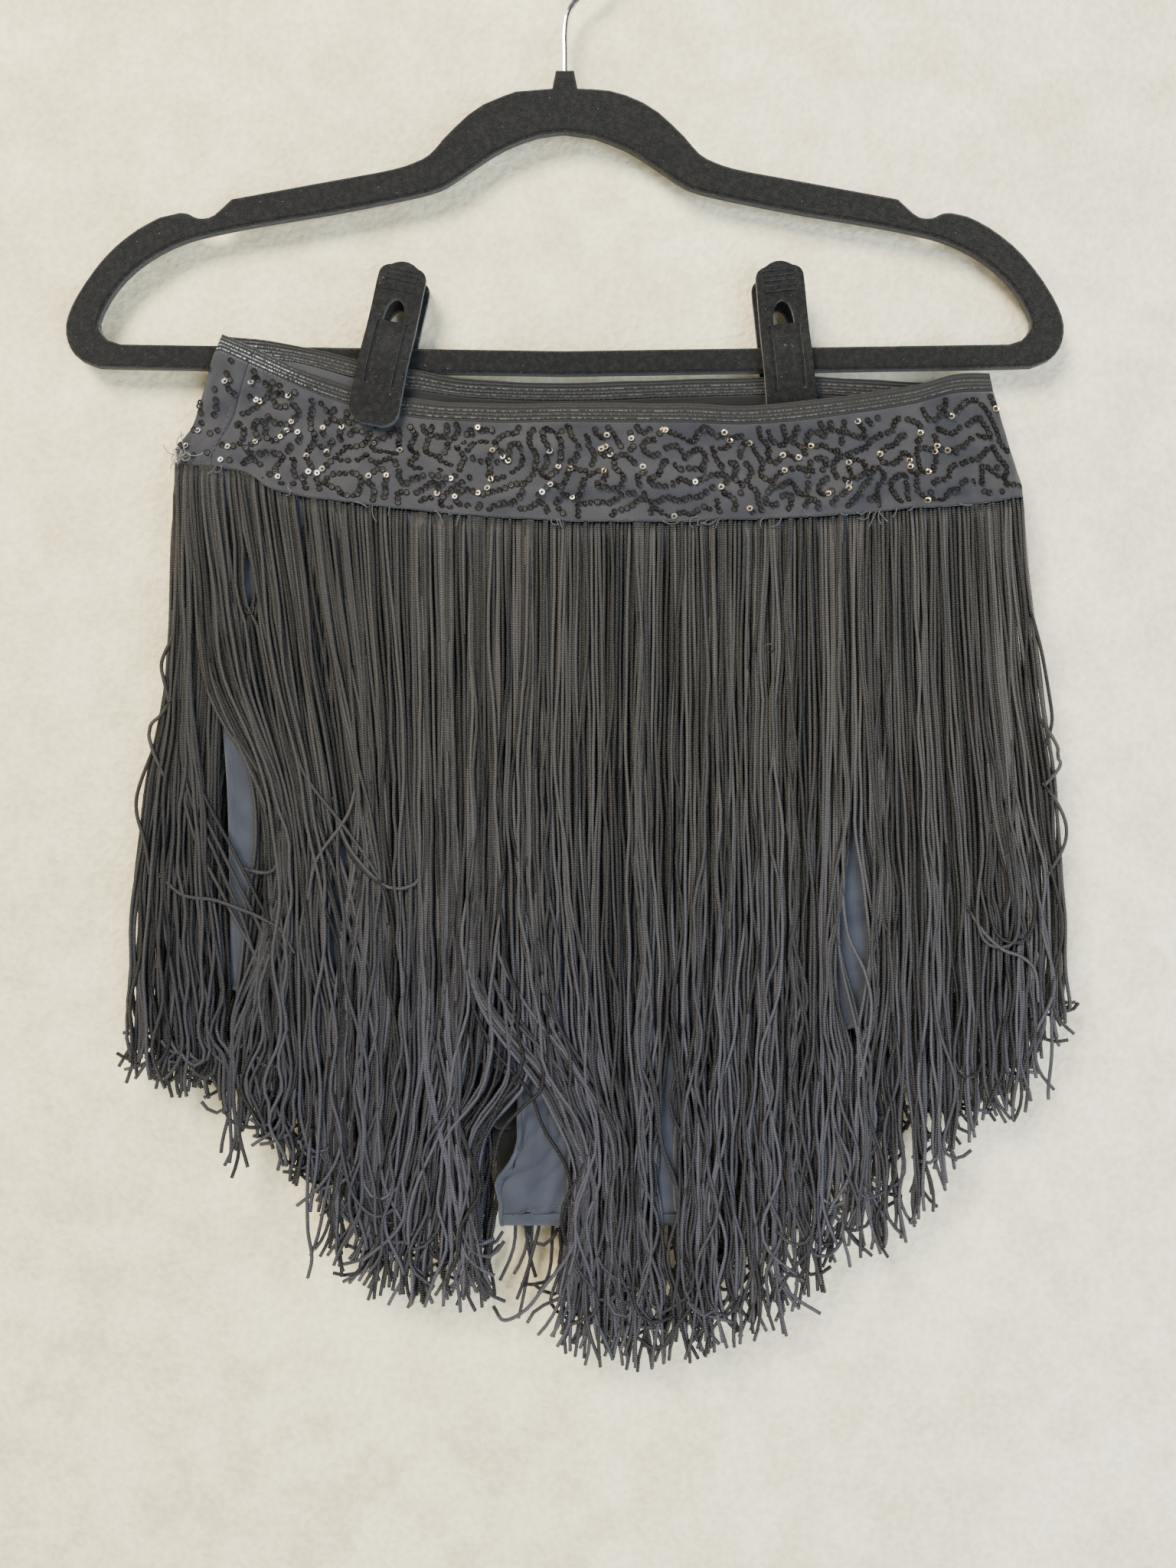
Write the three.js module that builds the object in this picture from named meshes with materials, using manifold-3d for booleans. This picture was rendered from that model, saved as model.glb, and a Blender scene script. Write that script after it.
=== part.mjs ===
// A chainette fringe skirt with a built-in brief, clipped to a slim flocked hanger.
// Millimetres, +Z up, the skirt's front faces -Y. The origin is where the hook's inside rests on a rail.
import * as THREE from 'three';
import { mergeVertices } from 'three/addons/utils/BufferGeometryUtils.js';
import Module from 'manifold-3d';

const wasm = await Module();
wasm.setup();

// ---------------------------------------------------------------- driving dimensions
const SEAM = 0.3; // gap left between pieces that are sewn together or touch

const HANGER_THICKNESS = 5.5;
const HANGER_EDGE = 1.2; // rounding of the flocked edges
const BOSS = { halfWidth: 4.1, rootHalfWidth: 5.7, top: -76.5, root: -84.5 };
const BAR = { topEnd: -198.4, topMiddle: -201.4, bottomEnd: -208.8, bottomMiddle: -212, endX: 198 };
const WIRE_RADIUS = 1.5;
const HOOK_RADIUS = 21.5; // to the middle of the wire
const SHANK_IN_BOSS = 8;
const SHANK = [[0, -76], [0, -68], [0, -58], [1.2, -50.5], [4.8, -44]]; // X and Z, up from the boss
const HOOK_TURN = { from: -60, to: 205, steps: 18 }; // degrees round the hook's circle

const LEAF_WIDTH = { top: 21.2, bottom: 22.2 };
const LEAF = { top: 32, topCorner: 27.4, bottomCorner: -37.2, bottom: -42 }; // above the spring's axis
const SPRING = { radius: 3.7, bore: 2.6, length: 9 };
const LEAF_CORNER = 3.2;
const FINGER_HOLE = { floor: 4.15, width: 9.4, dome: 14.2 }; // dome: how high its curve's handles reach
const FINGER_RIDGES = { count: 5, first: 17.2, pitch: 2.3, groove: 1.4, width: 14.5, depth: 0.6 };
const TONGUE = { offset: 6.3, groove: 1.4, top: 4, bottom: -25, depth: 0.7 };
const CUT_THROUGH = 40; // deeper than a clip

const BAND_HEIGHT = 8.3;
const CLOTH = 1.5; // waist binding and yoke
const BRIEF_CLOTH = 1.2;
const FRINGE_AT_SEAM = 1.5; // thickness of the fringe where it is sewn on
const FRINGE_THICK = 3.6; // two cords deep, lower down
const FRINGE_FILLS_IN = 40; // distance below the seam over which it reaches that thickness
const BRIEF_CLEARANCE = 0.6; // between the fringe and the brief inside it
const FOLD_POWER = 6; // how square the folded sides are
const SIDE_SEAM_SHARE = 0.045; // the left side seam lies on the front, this share of the width in

// ---------------------------------------------------------------- tables
// Each row of a table becomes an object with these named columns.
function table(columns, rows) {
  const names = columns.split(' ');
  return rows.map((row) => Object.fromEntries(names.map((name, i) => [name, row[i]])));
}

// One shoulder of the hanger, from the boss to the strap notch, and from the notch to the bar.
const SHOULDER = table('x z', [
  [22, -85.8], [38.7, -92.8], [52.5, -105], [60, -113.5], [68, -117.8], [79, -121], [104, -125.6], [148.5, -133.8],
]);
const NOTCH = table('x z', [[151.5, -136.6], [157.5, -141.6], [163.5, -142.2], [168, -140.2], [171.5, -139.8]]);
const SHOULDER_END = table('x z', [
  [180.5, -141.9], [191.5, -148], [203, -157.5], [213, -170], [220, -182], [222.5, -191], [221, -199], [216.5, -205],
  [208, -208.5],
]);
const WINDOW_EDGE = table('x z', [
  [13, -105.4], [28, -111.3], [41, -119.6], [51, -126.3], [58, -129.6], [72, -133.1], [104, -139.4], [137, -144.9],
  [157, -148.9], [170, -152.4], [183, -158.6], [194, -166.8], [202, -176.2], [207.6, -187], [207, -192.6],
  [203.5, -196.6],
]);
const WINDOW_TOP = -103.6;

// The clip leaf seen from the side, closed: how far each face lies from the middle of the clip.
const LEAF_SIDE = table('z inner outer', [
  [32, 6.6, 8.6], [20, 6.2, 8.5], [10, 4.8, 7.2], [0, 4, 6.6], [-10, 4.8, 7.2], [-18, 4.4, 7], [-27, 2.4, 5.4],
  [-34.5, 1.2, 4], [-35.5, 0, 3.8], [-42, 0, 2.8],
]);

// How each clip hangs: sideways lean and forward tilt, and how far its jaws are open, in degrees.
const CLIPS = table('name x y lean tilt open', [
  ['left', -76.8, -1.2, 11.8, 3.3, 3.4],
  ['right', 97.4, 0, -6, 0, 1.7],
]);

// Heights of the level lines, across the flat skirt from its left fold to its right fold.
const WAIST_LINE = table('x front back', [
  [-151, -198, -198],
  [-120, -210.6, -200.3],
  [-94, -218.5, -205.8],
  [-66, -223.9, -211],
  [-36, -226.8, -214.6],
  [8, -228.1, -215],
  [44, -228.8, -213.6],
  [80, -228.6, -212.6],
  [112, -225.7, -212.2],
  [152, -219, -214.6],
  [172, -216, -216],
  [188.3, -215.4, -215.4],
]);
const YOKE_LINE = table('x front back', [
  [-171.2, -253.3, -253.3],
  [-150, -255.4, -256],
  [-138, -258.5, -259],
  [-128, -265.2, -261],
  [-100, -271, -265],
  [-60, -275.7, -268.5],
  [8, -280.3, -270],
  [77, -279.4, -268.8],
  [122, -277.1, -268],
  [151, -274.1, -267.6],
  [181, -271.5, -267.8],
  [202.3, -268, -268],
]);
const FRINGE_LINE = table('x front back', [
  [-194.5, -529, -522],
  [-150, -539, -548],
  [-110, -580, -578],
  [-72, -626, -606],
  [-15, -630, -636],
  [8, -650, -641],
  [36, -655, -641],
  [64, -648, -632],
  [90, -640, -615],
  [118, -608, -592],
  [145, -600, -574],
  [172, -566, -556],
  [195, -546, -536],
  [223, -500, -505],
]);

// The folded sides, at shares of the height of the yoke, the fringe and the brief.
const YOKE_SIDES = table('share left right', [
  [0, -154.5, 190.2], [0.35, -160, 195], [0.65, -165, 199], [0.85, -171.3, 201.6], [1, -171.2, 202.3],
]);
const FRINGE_SIDES = table('share left right', [
  [0, -171.2, 202.3], [0.26, -175, 209.7], [0.45, -184, 216.5], [0.55, -190.5, 221], [0.8, -192.5, 225],
  [1, -194.5, 223],
]);
const BRIEF_SIDES = table('share left right', [
  [0, -168.6, 199.5], [0.25, -160, 188.5], [0.55, -150.5, 178], [0.8, -148.5, 176.5], [1, -148, 176],
]);

// The brief's leg line, by distance out from the middle of the crotch.
const BRIEF_MIDDLE = 14;
const FOLD_COLUMNS = [0.006, 0.018]; // shares of the width at which the brief's folds get columns
const LEG_LINE = table('out front back', [
  [0, -583.3, -548],
  [14, -583.3, -548],
  [27.5, -583.3, -548],
  [29, -550, -548],
  [34, -528, -548],
  [40, -521, -547],
  [46, -517.5, -536],
  [60, -513, -524],
  [80, -508, -514],
  [105, -503, -506],
  [130, -497, -499],
  [150, -489, -490],
  [162, -484, -484],
]);
const CROTCH_FLARE = { from: -525, over: 55, amount: 0.4 };
const GUSSET = { frontHalf: 38.5, foldHalf: 40.5, backHalf: 45.6, foldCentre: -585.2, seam: -583.6, backTop: -548.3 };

// How deep the flat skirt is: its middle plane, and the front and back faces' distances from it.
const DEPTHS = table('x waistMid waistFront waistBack hipMid hipFront hipBack hemMid hemFront hemBack', [
  [-195, -5, 3, 3, -5, 6.6, 6.2, -4, 6.6, 6.4],
  [-155, -5, 3, 3, -5, 7, 6.4, -4, 7.2, 6.8],
  [-125, -4.3, 2.6, 2.6, -5, 7.8, 7, -4, 8, 7.2],
  [-99, -3.4, 1.7, 1.7, -5, 8.8, 7.6, -4, 8.6, 7.4],
  [-68, -3.4, 1.7, 1.7, -5, 9.8, 8, -4, 9, 7.6],
  [-36, -4.2, 4.6, 3.2, -5, 10.6, 8.5, -4, 9.2, 7.8],
  [8, -5, 8.4, 5.6, -5, 11, 8.6, -4, 9.4, 7.8],
  [50, -5, 10, 6, -5, 11, 8.6, -4, 9.4, 7.8],
  [84, -5, 6.2, 5.75, -5, 10.6, 8.3, -4, 9.2, 7.6],
  [118, -5, 6.2, 5.75, -5, 10, 8, -4, 8.8, 7.4],
  [152, -4.2, 4.6, 4.4, -4.6, 8.8, 7.6, -4, 8, 7.2],
  [190, -3.5, 3.3, 3.3, -4, 7, 6.4, -4, 7.2, 6.8],
  [225, -3.5, 3.3, 3.3, -4, 6.6, 6.2, -4, 6.6, 6.4],
]);
const WAIST_ENDS = -238; // above this height the waist's depths hold, down to the clips' jaws
const HIP_AT = -268;
const HEM_AT = -600;
// The left end of the waist lies in front of the hanger's bar and falls back below it.
const OVER_BAR = { push: -1.7, full: -212, gone: -223, leftOf: -48, fades: 40 };

const MATERIALS = {
  flock: new THREE.MeshStandardMaterial({ color: 0x17181a, roughness: 1, metalness: 0 }),
  chrome: new THREE.MeshStandardMaterial({ color: 0xc9cccf, roughness: 0.18, metalness: 1 }),
  spring: new THREE.MeshStandardMaterial({ color: 0x8f9296, roughness: 0.35, metalness: 1 }),
  lurex: new THREE.MeshStandardMaterial({ color: 0x2c2d31, roughness: 0.5, metalness: 0.2 }),
  sequins: new THREE.MeshStandardMaterial({ color: 0x3d404b, roughness: 0.6, metalness: 0 }),
  stretch: new THREE.MeshStandardMaterial({ color: 0x454853, roughness: 0.75, metalness: 0 }),
  chainette: new THREE.MeshStandardMaterial({ color: 0x35332f, roughness: 0.85, metalness: 0 }),
};

// ---------------------------------------------------------------- numbers between table rows
const mix = THREE.MathUtils.lerp;
const degrees = THREE.MathUtils.degToRad;

function smooth(value) {
  return THREE.MathUtils.smoothstep(value, 0, 1);
}

// The row before a place, and the share of the way to the next row.
function between(rows, key, place) {
  const last = rows.length - 1;
  const held = THREE.MathUtils.clamp(place, rows[0][key], rows[last][key]);
  const i = Math.min(rows.findLastIndex((row) => row[key] <= held), last - 1);
  return { i, share: (held - rows[i][key]) / (rows[i + 1][key] - rows[i][key]) };
}

function straight(rows, key, place, column) {
  const { i, share } = between(rows, key, place);
  return mix(rows[i][column], rows[i + 1][column], share);
}

// Eased from row to row, so it never passes a row's own value.
function eased(rows, key, place, column) {
  const { i, share } = between(rows, key, place);
  return mix(rows[i][column], rows[i + 1][column], smooth(share));
}

// A curve through the rows, with each row's slope taken from its neighbours.
function curved(rows, key, place, column) {
  const { i, share } = between(rows, key, place);
  const slope = (k) => {
    const a = rows[Math.max(k - 1, 0)];
    const b = rows[Math.min(k + 1, rows.length - 1)];
    return (b[column] - a[column]) / (b[key] - a[key]);
  };
  const span = rows[i + 1][key] - rows[i][key];
  const s2 = share * share;
  const s3 = s2 * share;
  return (2 * s3 - 3 * s2 + 1) * rows[i][column] + (s3 - 2 * s2 + share) * span * slope(i)
    + (3 * s2 - 2 * s3) * rows[i + 1][column] + (s3 - s2) * span * slope(i + 1);
}

// ---------------------------------------------------------------- the flat skirt's depth
function depthColumn(x, z, name) {
  const waist = eased(DEPTHS, 'x', x, `waist${name}`);
  const hip = eased(DEPTHS, 'x', x, `hip${name}`);
  const hem = eased(DEPTHS, 'x', x, `hem${name}`);
  const opened = mix(waist, hip, smooth((WAIST_ENDS - z) / (WAIST_ENDS - HIP_AT)));
  return mix(opened, hem, THREE.MathUtils.clamp((HIP_AT - z) / (HIP_AT - HEM_AT), 0, 1));
}

function middlePlane(x, z) {
  const above = smooth((z - OVER_BAR.gone) / (OVER_BAR.full - OVER_BAR.gone));
  const leftward = smooth((OVER_BAR.leftOf + OVER_BAR.fades - x) / OVER_BAR.fades);
  return depthColumn(x, z, 'Mid') + OVER_BAR.push * above * leftward;
}

function faceDepth(x, z, side) {
  return depthColumn(x, z, side === 'front' ? 'Front' : 'Back');
}

function fringeThickness(x, z, side) {
  const below = curved(YOKE_LINE, 'x', x, side) - z;
  return mix(FRINGE_AT_SEAM, FRINGE_THICK, smooth(below / FRINGE_FILLS_IN));
}

// ---------------------------------------------------------------- cloth walls
// The closed wall between an outer and an inner grid of points. Rows run down the cloth, and columns run
// the same way round the skirt as its front does from left to right.
function wallGeometry(outer, inner) {
  const rows = outer.length;
  const columns = outer[0].length;
  const at = (face, row, column) => (face * rows + row) * columns + column;
  const index = [];
  const quad = (a, b, c, d) => index.push(a, b, c, a, c, d);
  for (let row = 0; row < rows - 1; row++) {
    for (let column = 0; column < columns - 1; column++) {
      quad(at(0, row, column), at(0, row + 1, column), at(0, row + 1, column + 1), at(0, row, column + 1));
      quad(at(1, row, column), at(1, row, column + 1), at(1, row + 1, column + 1), at(1, row + 1, column));
    }
    quad(at(0, row, 0), at(1, row, 0), at(1, row + 1, 0), at(0, row + 1, 0));
    const end = columns - 1;
    quad(at(0, row, end), at(0, row + 1, end), at(1, row + 1, end), at(1, row, end));
  }
  for (let column = 0; column < columns - 1; column++) {
    quad(at(0, 0, column), at(0, 0, column + 1), at(1, 0, column + 1), at(1, 0, column));
    const end = rows - 1;
    quad(at(0, end, column), at(1, end, column), at(1, end, column + 1), at(0, end, column + 1));
  }
  const geometry = new THREE.BufferGeometry();
  const points = [...outer, ...inner].flat().flatMap((point) => point.toArray());
  geometry.setAttribute('position', new THREE.Float32BufferAttribute(points, 3));
  geometry.setIndex(index);
  return geometry;
}

// How far the face stands out at a share of the width: nothing at the folds, all of it on the flat.
function fold(share) {
  return (1 - Math.abs(2 * share - 1) ** FOLD_POWER) ** (1 / FOLD_POWER);
}

// Columns close together at the folds, from one share of the width to another.
function columnShares(count, from = 0, to = 1) {
  const first = Math.acos(1 - 2 * from);
  const last = Math.acos(1 - 2 * to);
  return Array.from({ length: count + 1 }, (_, i) => (1 - Math.cos(mix(first, last, i / count))) / 2);
}

function frontCourse(shares) {
  return shares.map((share) => ({ side: 'front', share }));
}

function backCourse(shares) {
  return [...shares].reverse().map((share) => ({ side: 'back', share }));
}

// One piece of the flat tube. piece gives its folded sides, its top and bottom lines, the distance of each
// face from the middle plane, and its thickness at the folds.
function tubeWall(piece, course, rowShares) {
  const grid = (face) => rowShares.map((down) => {
    const sides = piece.sides(down);
    return course.map(({ side, share }) => {
      const edgeX = mix(sides.left, sides.right, share);
      const z = mix(piece.top(edgeX, side, share), piece.bottom(edgeX, side, share), down);
      const inset = face === 'inner' ? piece.foldThickness(sides.left, z) : 0;
      const x = piece.warp(mix(sides.left + inset, sides.right - inset, share), z);
      const out = SEAM / 2 + (piece.reach(x, z, side, face) - SEAM / 2) * fold(share);
      return new THREE.Vector3(x, middlePlane(x, z) + (side === 'front' ? -out : out), z);
    });
  });
  return wallGeometry(grid('outer'), grid('inner'));
}

function sidesFrom(rows) {
  return (share) => ({ left: curved(rows, 'share', share, 'left'), right: curved(rows, 'share', share, 'right') });
}

const unwarped = (x) => x;

const band = {
  sides: (down) => ({ left: mix(-151, -154.3, down), right: mix(188.3, 190, down) }),
  top: (x, side) => curved(WAIST_LINE, 'x', x, side),
  bottom: (x, side) => curved(WAIST_LINE, 'x', x, side) - BAND_HEIGHT,
  reach: (x, z, side, face) => faceDepth(x, z, side) - (face === 'inner' ? CLOTH : 0),
  foldThickness: () => CLOTH,
  warp: unwarped,
};

const yoke = {
  sides: sidesFrom(YOKE_SIDES),
  top: (x, side) => curved(WAIST_LINE, 'x', x, side) - BAND_HEIGHT - SEAM,
  bottom: (x, side) => curved(YOKE_LINE, 'x', x, side),
  reach: band.reach,
  foldThickness: () => CLOTH,
  warp: unwarped,
};

const fringe = {
  sides: sidesFrom(FRINGE_SIDES),
  top: (x, side) => curved(YOKE_LINE, 'x', x, side) - SEAM,
  bottom: (x, side) => straight(FRINGE_LINE, 'x', x, side),
  reach: (x, z, side, face) => faceDepth(x, z, side) - (face === 'inner' ? fringeThickness(x, z, side) : 0),
  foldThickness: (x, z) => fringeThickness(x, z, 'front'),
  warp: unwarped,
};

// The brief lies just inside the fringe, and its crotch spreads towards the fold.
const brief = {
  sides: sidesFrom(BRIEF_SIDES),
  top: (x, side) => curved(YOKE_LINE, 'x', x, side) - SEAM,
  bottom: (x, side, share) => straight(LEG_LINE, 'out', Math.abs(share - 0.5) * 2 * LEG_LINE.at(-1).out, side),
  reach: (x, z, side, face) => faceDepth(x, z, side) - fringeThickness(x, z, side) - BRIEF_CLEARANCE
    - (face === 'inner' ? BRIEF_CLOTH : 0),
  foldThickness: () => BRIEF_CLOTH,
  warp: (x, z) => {
    const flare = 1 + CROTCH_FLARE.amount * smooth((CROTCH_FLARE.from - z) / CROTCH_FLARE.over);
    return BRIEF_MIDDLE + (x - BRIEF_MIDDLE) * flare;
  },
};

// Columns of the brief stand on the rows of its leg line, with more of them round the folds.
function briefShares() {
  const half = LEG_LINE.at(-1).out;
  const outs = LEG_LINE.map((row) => row.out / half / 2);
  const left = outs.slice(0, -1).map((out) => 0.5 - out).reverse();
  const right = outs.slice(1, -1).map((out) => 0.5 + out);
  return [0, ...FOLD_COLUMNS, ...left, ...right, ...FOLD_COLUMNS.map((share) => 1 - share).reverse(), 1];
}

// The strip under the crotch: down from the front panel, round the fold and up the back.
function gussetGeometry() {
  const foldSteps = 8;
  const backRows = 4;
  const front = middlePlane(BRIEF_MIDDLE, GUSSET.seam) - brief.reach(BRIEF_MIDDLE, GUSSET.seam, 'front', 'outer');
  const back = middlePlane(BRIEF_MIDDLE, GUSSET.seam) + brief.reach(BRIEF_MIDDLE, GUSSET.seam, 'back', 'outer');
  const radius = (back - front) / 2;
  const line = [{ y: front, z: GUSSET.seam, in: new THREE.Vector2(1, 0), half: GUSSET.frontHalf }];
  for (let step = 0; step <= foldSteps; step++) {
    const angle = Math.PI * (1 + step / foldSteps);
    const spot = new THREE.Vector2(Math.cos(angle), Math.sin(angle));
    line.push({
      y: (front + back) / 2 + spot.x * radius,
      z: GUSSET.foldCentre + spot.y * radius,
      in: spot.clone().negate(),
      half: mix(GUSSET.frontHalf, GUSSET.foldHalf, step / foldSteps),
    });
  }
  for (let row = 1; row <= backRows; row++) {
    const up = row / backRows;
    const z = mix(GUSSET.foldCentre, GUSSET.backTop, up);
    const y = middlePlane(BRIEF_MIDDLE, z) + brief.reach(BRIEF_MIDDLE, z, 'back', 'outer');
    line.push({ y, z, in: new THREE.Vector2(-1, 0), half: mix(GUSSET.foldHalf, GUSSET.backHalf, up) });
  }
  const across = [-1, -0.5, 0, 0.5, 1];
  const grid = (thickness) => line.map((spot) => across.map((share) => new THREE.Vector3(
    BRIEF_MIDDLE + share * spot.half,
    spot.y + spot.in.x * thickness,
    spot.z + spot.in.y * thickness,
  )));
  return wallGeometry(grid(0), grid(BRIEF_CLOTH));
}

// ---------------------------------------------------------------- booleans
function solidFrom(geometry) {
  const bare = geometry.clone();
  bare.deleteAttribute('normal');
  bare.deleteAttribute('uv');
  const merged = mergeVertices(bare, 1e-4);
  return new wasm.Manifold(new wasm.Mesh({
    numProp: 3,
    vertProperties: new Float32Array(merged.attributes.position.array),
    triVerts: new Uint32Array(merged.index.array),
  }));
}

function geometryFrom(solid) {
  const { vertProperties, triVerts } = solid.getMesh();
  const geometry = new THREE.BufferGeometry();
  geometry.setAttribute('position', new THREE.BufferAttribute(vertProperties, 3));
  geometry.setIndex(new THREE.BufferAttribute(triVerts, 1));
  return geometry;
}

// ---------------------------------------------------------------- hanger
function toPoints(rows) {
  return rows.map((row) => new THREE.Vector2(row.x, row.z));
}

function mirrored(points) {
  return points.map((point) => new THREE.Vector2(-point.x, point.y));
}

// Turns a shape drawn in X and Z, and extruded, so that it stands upright with its middle on Y = 0.
function upright(geometry, thickness) {
  return geometry.rotateX(Math.PI / 2).translate(0, thickness / 2, 0);
}

function hangerGeometry() {
  const right = [toPoints(SHOULDER), toPoints(NOTCH), toPoints(SHOULDER_END)];
  const outline = new THREE.Shape();
  outline.moveTo(-BOSS.halfWidth, BOSS.top);
  outline.lineTo(BOSS.halfWidth, BOSS.top);
  outline.lineTo(BOSS.rootHalfWidth, BOSS.root);
  right.forEach((points) => outline.splineThru(points));
  outline.lineTo(BAR.endX, BAR.bottomEnd);
  outline.lineTo(0, BAR.bottomMiddle);
  outline.lineTo(-BAR.endX, BAR.bottomEnd);
  const left = [...right].reverse().map((points) => mirrored(points).reverse());
  left.forEach((points) => {
    outline.lineTo(points[0].x, points[0].y);
    outline.splineThru(points.slice(1));
  });
  outline.lineTo(-BOSS.rootHalfWidth, BOSS.root);

  // The window is drawn the other way round from the outline, as a hole must be.
  const edge = toPoints(WINDOW_EDGE);
  const openWindow = new THREE.Path();
  openWindow.moveTo(0, WINDOW_TOP);
  openWindow.splineThru(mirrored(edge));
  openWindow.lineTo(-BAR.endX, BAR.topEnd);
  openWindow.lineTo(0, BAR.topMiddle);
  openWindow.lineTo(BAR.endX, BAR.topEnd);
  openWindow.lineTo(edge.at(-1).x, edge.at(-1).y);
  openWindow.splineThru([...edge].reverse().slice(1));
  outline.holes.push(openWindow);

  const plate = upright(new THREE.ExtrudeGeometry(outline, {
    depth: HANGER_THICKNESS - 2 * HANGER_EDGE,
    curveSegments: 2,
    bevelThickness: HANGER_EDGE,
    bevelSize: HANGER_EDGE,
    bevelOffset: -HANGER_EDGE,
    bevelSegments: 2,
  }), HANGER_THICKNESS - 2 * HANGER_EDGE);
  const bore = new THREE.CylinderGeometry(WIRE_RADIUS + SEAM, WIRE_RADIUS + SEAM, 2 * SHANK_IN_BOSS, 16);
  bore.rotateX(Math.PI / 2).translate(0, 0, BOSS.top);
  return geometryFrom(solidFrom(plate).subtract(solidFrom(bore)));
}

// The wire: up out of the boss, a bend to the right, and round over the top to a tip on the left.
function hookGeometry() {
  const centreZ = WIRE_RADIUS - HOOK_RADIUS;
  const foot = BOSS.top - SHANK_IN_BOSS + SEAM;
  const route = [[0, foot], ...SHANK].map(([x, z]) => new THREE.Vector3(x, 0, z));
  for (let step = 0; step <= HOOK_TURN.steps; step++) {
    const angle = degrees(mix(HOOK_TURN.from, HOOK_TURN.to, step / HOOK_TURN.steps));
    route.push(new THREE.Vector3(Math.cos(angle) * HOOK_RADIUS, 0, centreZ + Math.sin(angle) * HOOK_RADIUS));
  }
  const section = new THREE.Shape(new THREE.EllipseCurve(0, 0, WIRE_RADIUS, WIRE_RADIUS).getPoints(10).slice(0, -1));
  return new THREE.ExtrudeGeometry(section, { steps: 64, extrudePath: new THREE.CatmullRomCurve3(route) });
}

// ---------------------------------------------------------------- clips
// Turns a shape drawn in Y and Z, and extruded from 0 to its width, so that it is centred on X = 0.
function sideways(geometry, middle) {
  const turn = new THREE.Matrix4().set(0, 0, 1, 0, 1, 0, 0, 0, 0, 1, 0, 0, 0, 0, 0, 1);
  return geometry.applyMatrix4(turn).translate(middle, 0, 0);
}

function slab(points, width, middle = 0) {
  const prism = new THREE.ExtrudeGeometry(new THREE.Shape(points), { depth: width, bevelEnabled: false });
  return solidFrom(sideways(prism, middle - width / 2));
}

// A cutter that follows the leaf's outer face between two heights and sinks into it by depth.
function skinCutter(width, middle, top, bottom, depth) {
  const clearOf = 2;
  const heights = [top, ...LEAF_SIDE.map((row) => row.z).filter((z) => z < top && z > bottom), bottom];
  const rows = [...LEAF_SIDE].reverse();
  const faces = heights.map((z) => ({ z, outer: straight(rows, 'z', z, 'outer') }));
  const outside = faces.map(({ z, outer }) => new THREE.Vector2(-outer - clearOf, z));
  const inside = faces.map(({ z, outer }) => new THREE.Vector2(-outer + depth, z)).reverse();
  return slab([...outside, ...inside], width, middle);
}

function leafSilhouette() {
  const top = LEAF_WIDTH.top / 2;
  const bottom = LEAF_WIDTH.bottom / 2;
  const corner = LEAF_CORNER;
  const shape = new THREE.Shape();
  shape.moveTo(-top, LEAF.topCorner - corner);
  shape.lineTo(-bottom, LEAF.bottomCorner + corner);
  shape.quadraticCurveTo(-bottom, LEAF.bottomCorner - corner, -bottom + 2 * corner, LEAF.bottom);
  shape.lineTo(bottom - 2 * corner, LEAF.bottom);
  shape.quadraticCurveTo(bottom, LEAF.bottomCorner - corner, bottom, LEAF.bottomCorner + corner);
  shape.lineTo(top, LEAF.topCorner - corner);
  shape.quadraticCurveTo(top, LEAF.topCorner + 1, top - 1.4 * corner, LEAF.topCorner + 2);
  shape.quadraticCurveTo(0, LEAF.top + 2, -top + 1.4 * corner, LEAF.topCorner + 2);
  shape.quadraticCurveTo(-top, LEAF.topCorner + 1, -top, LEAF.topCorner - corner);
  const prism = new THREE.ExtrudeGeometry(shape, { depth: CUT_THROUGH, bevelEnabled: false, curveSegments: 5 });
  return solidFrom(upright(prism, CUT_THROUGH));
}

// A domed hole with its flat side down.
function fingerHole() {
  const half = FINGER_HOLE.width / 2;
  const { floor, dome } = FINGER_HOLE;
  const shape = new THREE.Shape();
  shape.moveTo(-half, floor);
  shape.lineTo(half, floor);
  shape.bezierCurveTo(half, floor + dome, -half, floor + dome, -half, floor);
  const prism = new THREE.ExtrudeGeometry(shape, { depth: CUT_THROUGH, bevelEnabled: false, curveSegments: 12 });
  return solidFrom(upright(prism, CUT_THROUGH));
}

function leafGeometry() {
  const inner = LEAF_SIDE.map((row) => new THREE.Vector2(-row.inner, row.z)).reverse();
  const outer = LEAF_SIDE.map((row) => new THREE.Vector2(-row.outer, row.z));
  let leaf = slab([...outer, ...inner], 2 * LEAF_WIDTH.bottom).intersect(leafSilhouette()).subtract(fingerHole());
  for (let i = 0; i < FINGER_RIDGES.count; i++) {
    const bottom = FINGER_RIDGES.first + i * FINGER_RIDGES.pitch;
    const groove = skinCutter(FINGER_RIDGES.width, 0, bottom + FINGER_RIDGES.groove, bottom, FINGER_RIDGES.depth);
    leaf = leaf.subtract(groove);
  }
  for (const side of [-1, 1]) {
    leaf = leaf.subtract(skinCutter(TONGUE.groove, side * TONGUE.offset, TONGUE.top, TONGUE.bottom, TONGUE.depth));
  }
  return geometryFrom(leaf);
}

function springGeometry() {
  const half = SPRING.length / 2;
  const profile = [[SPRING.bore, -half], [SPRING.radius, -half], [SPRING.radius, half], [SPRING.bore, half]];
  const ring = [...profile, profile[0]].map(([radius, along]) => new THREE.Vector2(radius, along));
  return new THREE.LatheGeometry(ring, 16).rotateZ(Math.PI / 2);
}

function mesh(name, geometry, material) {
  const piece = new THREE.Mesh(geometry, material);
  piece.name = name;
  return piece;
}

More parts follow.
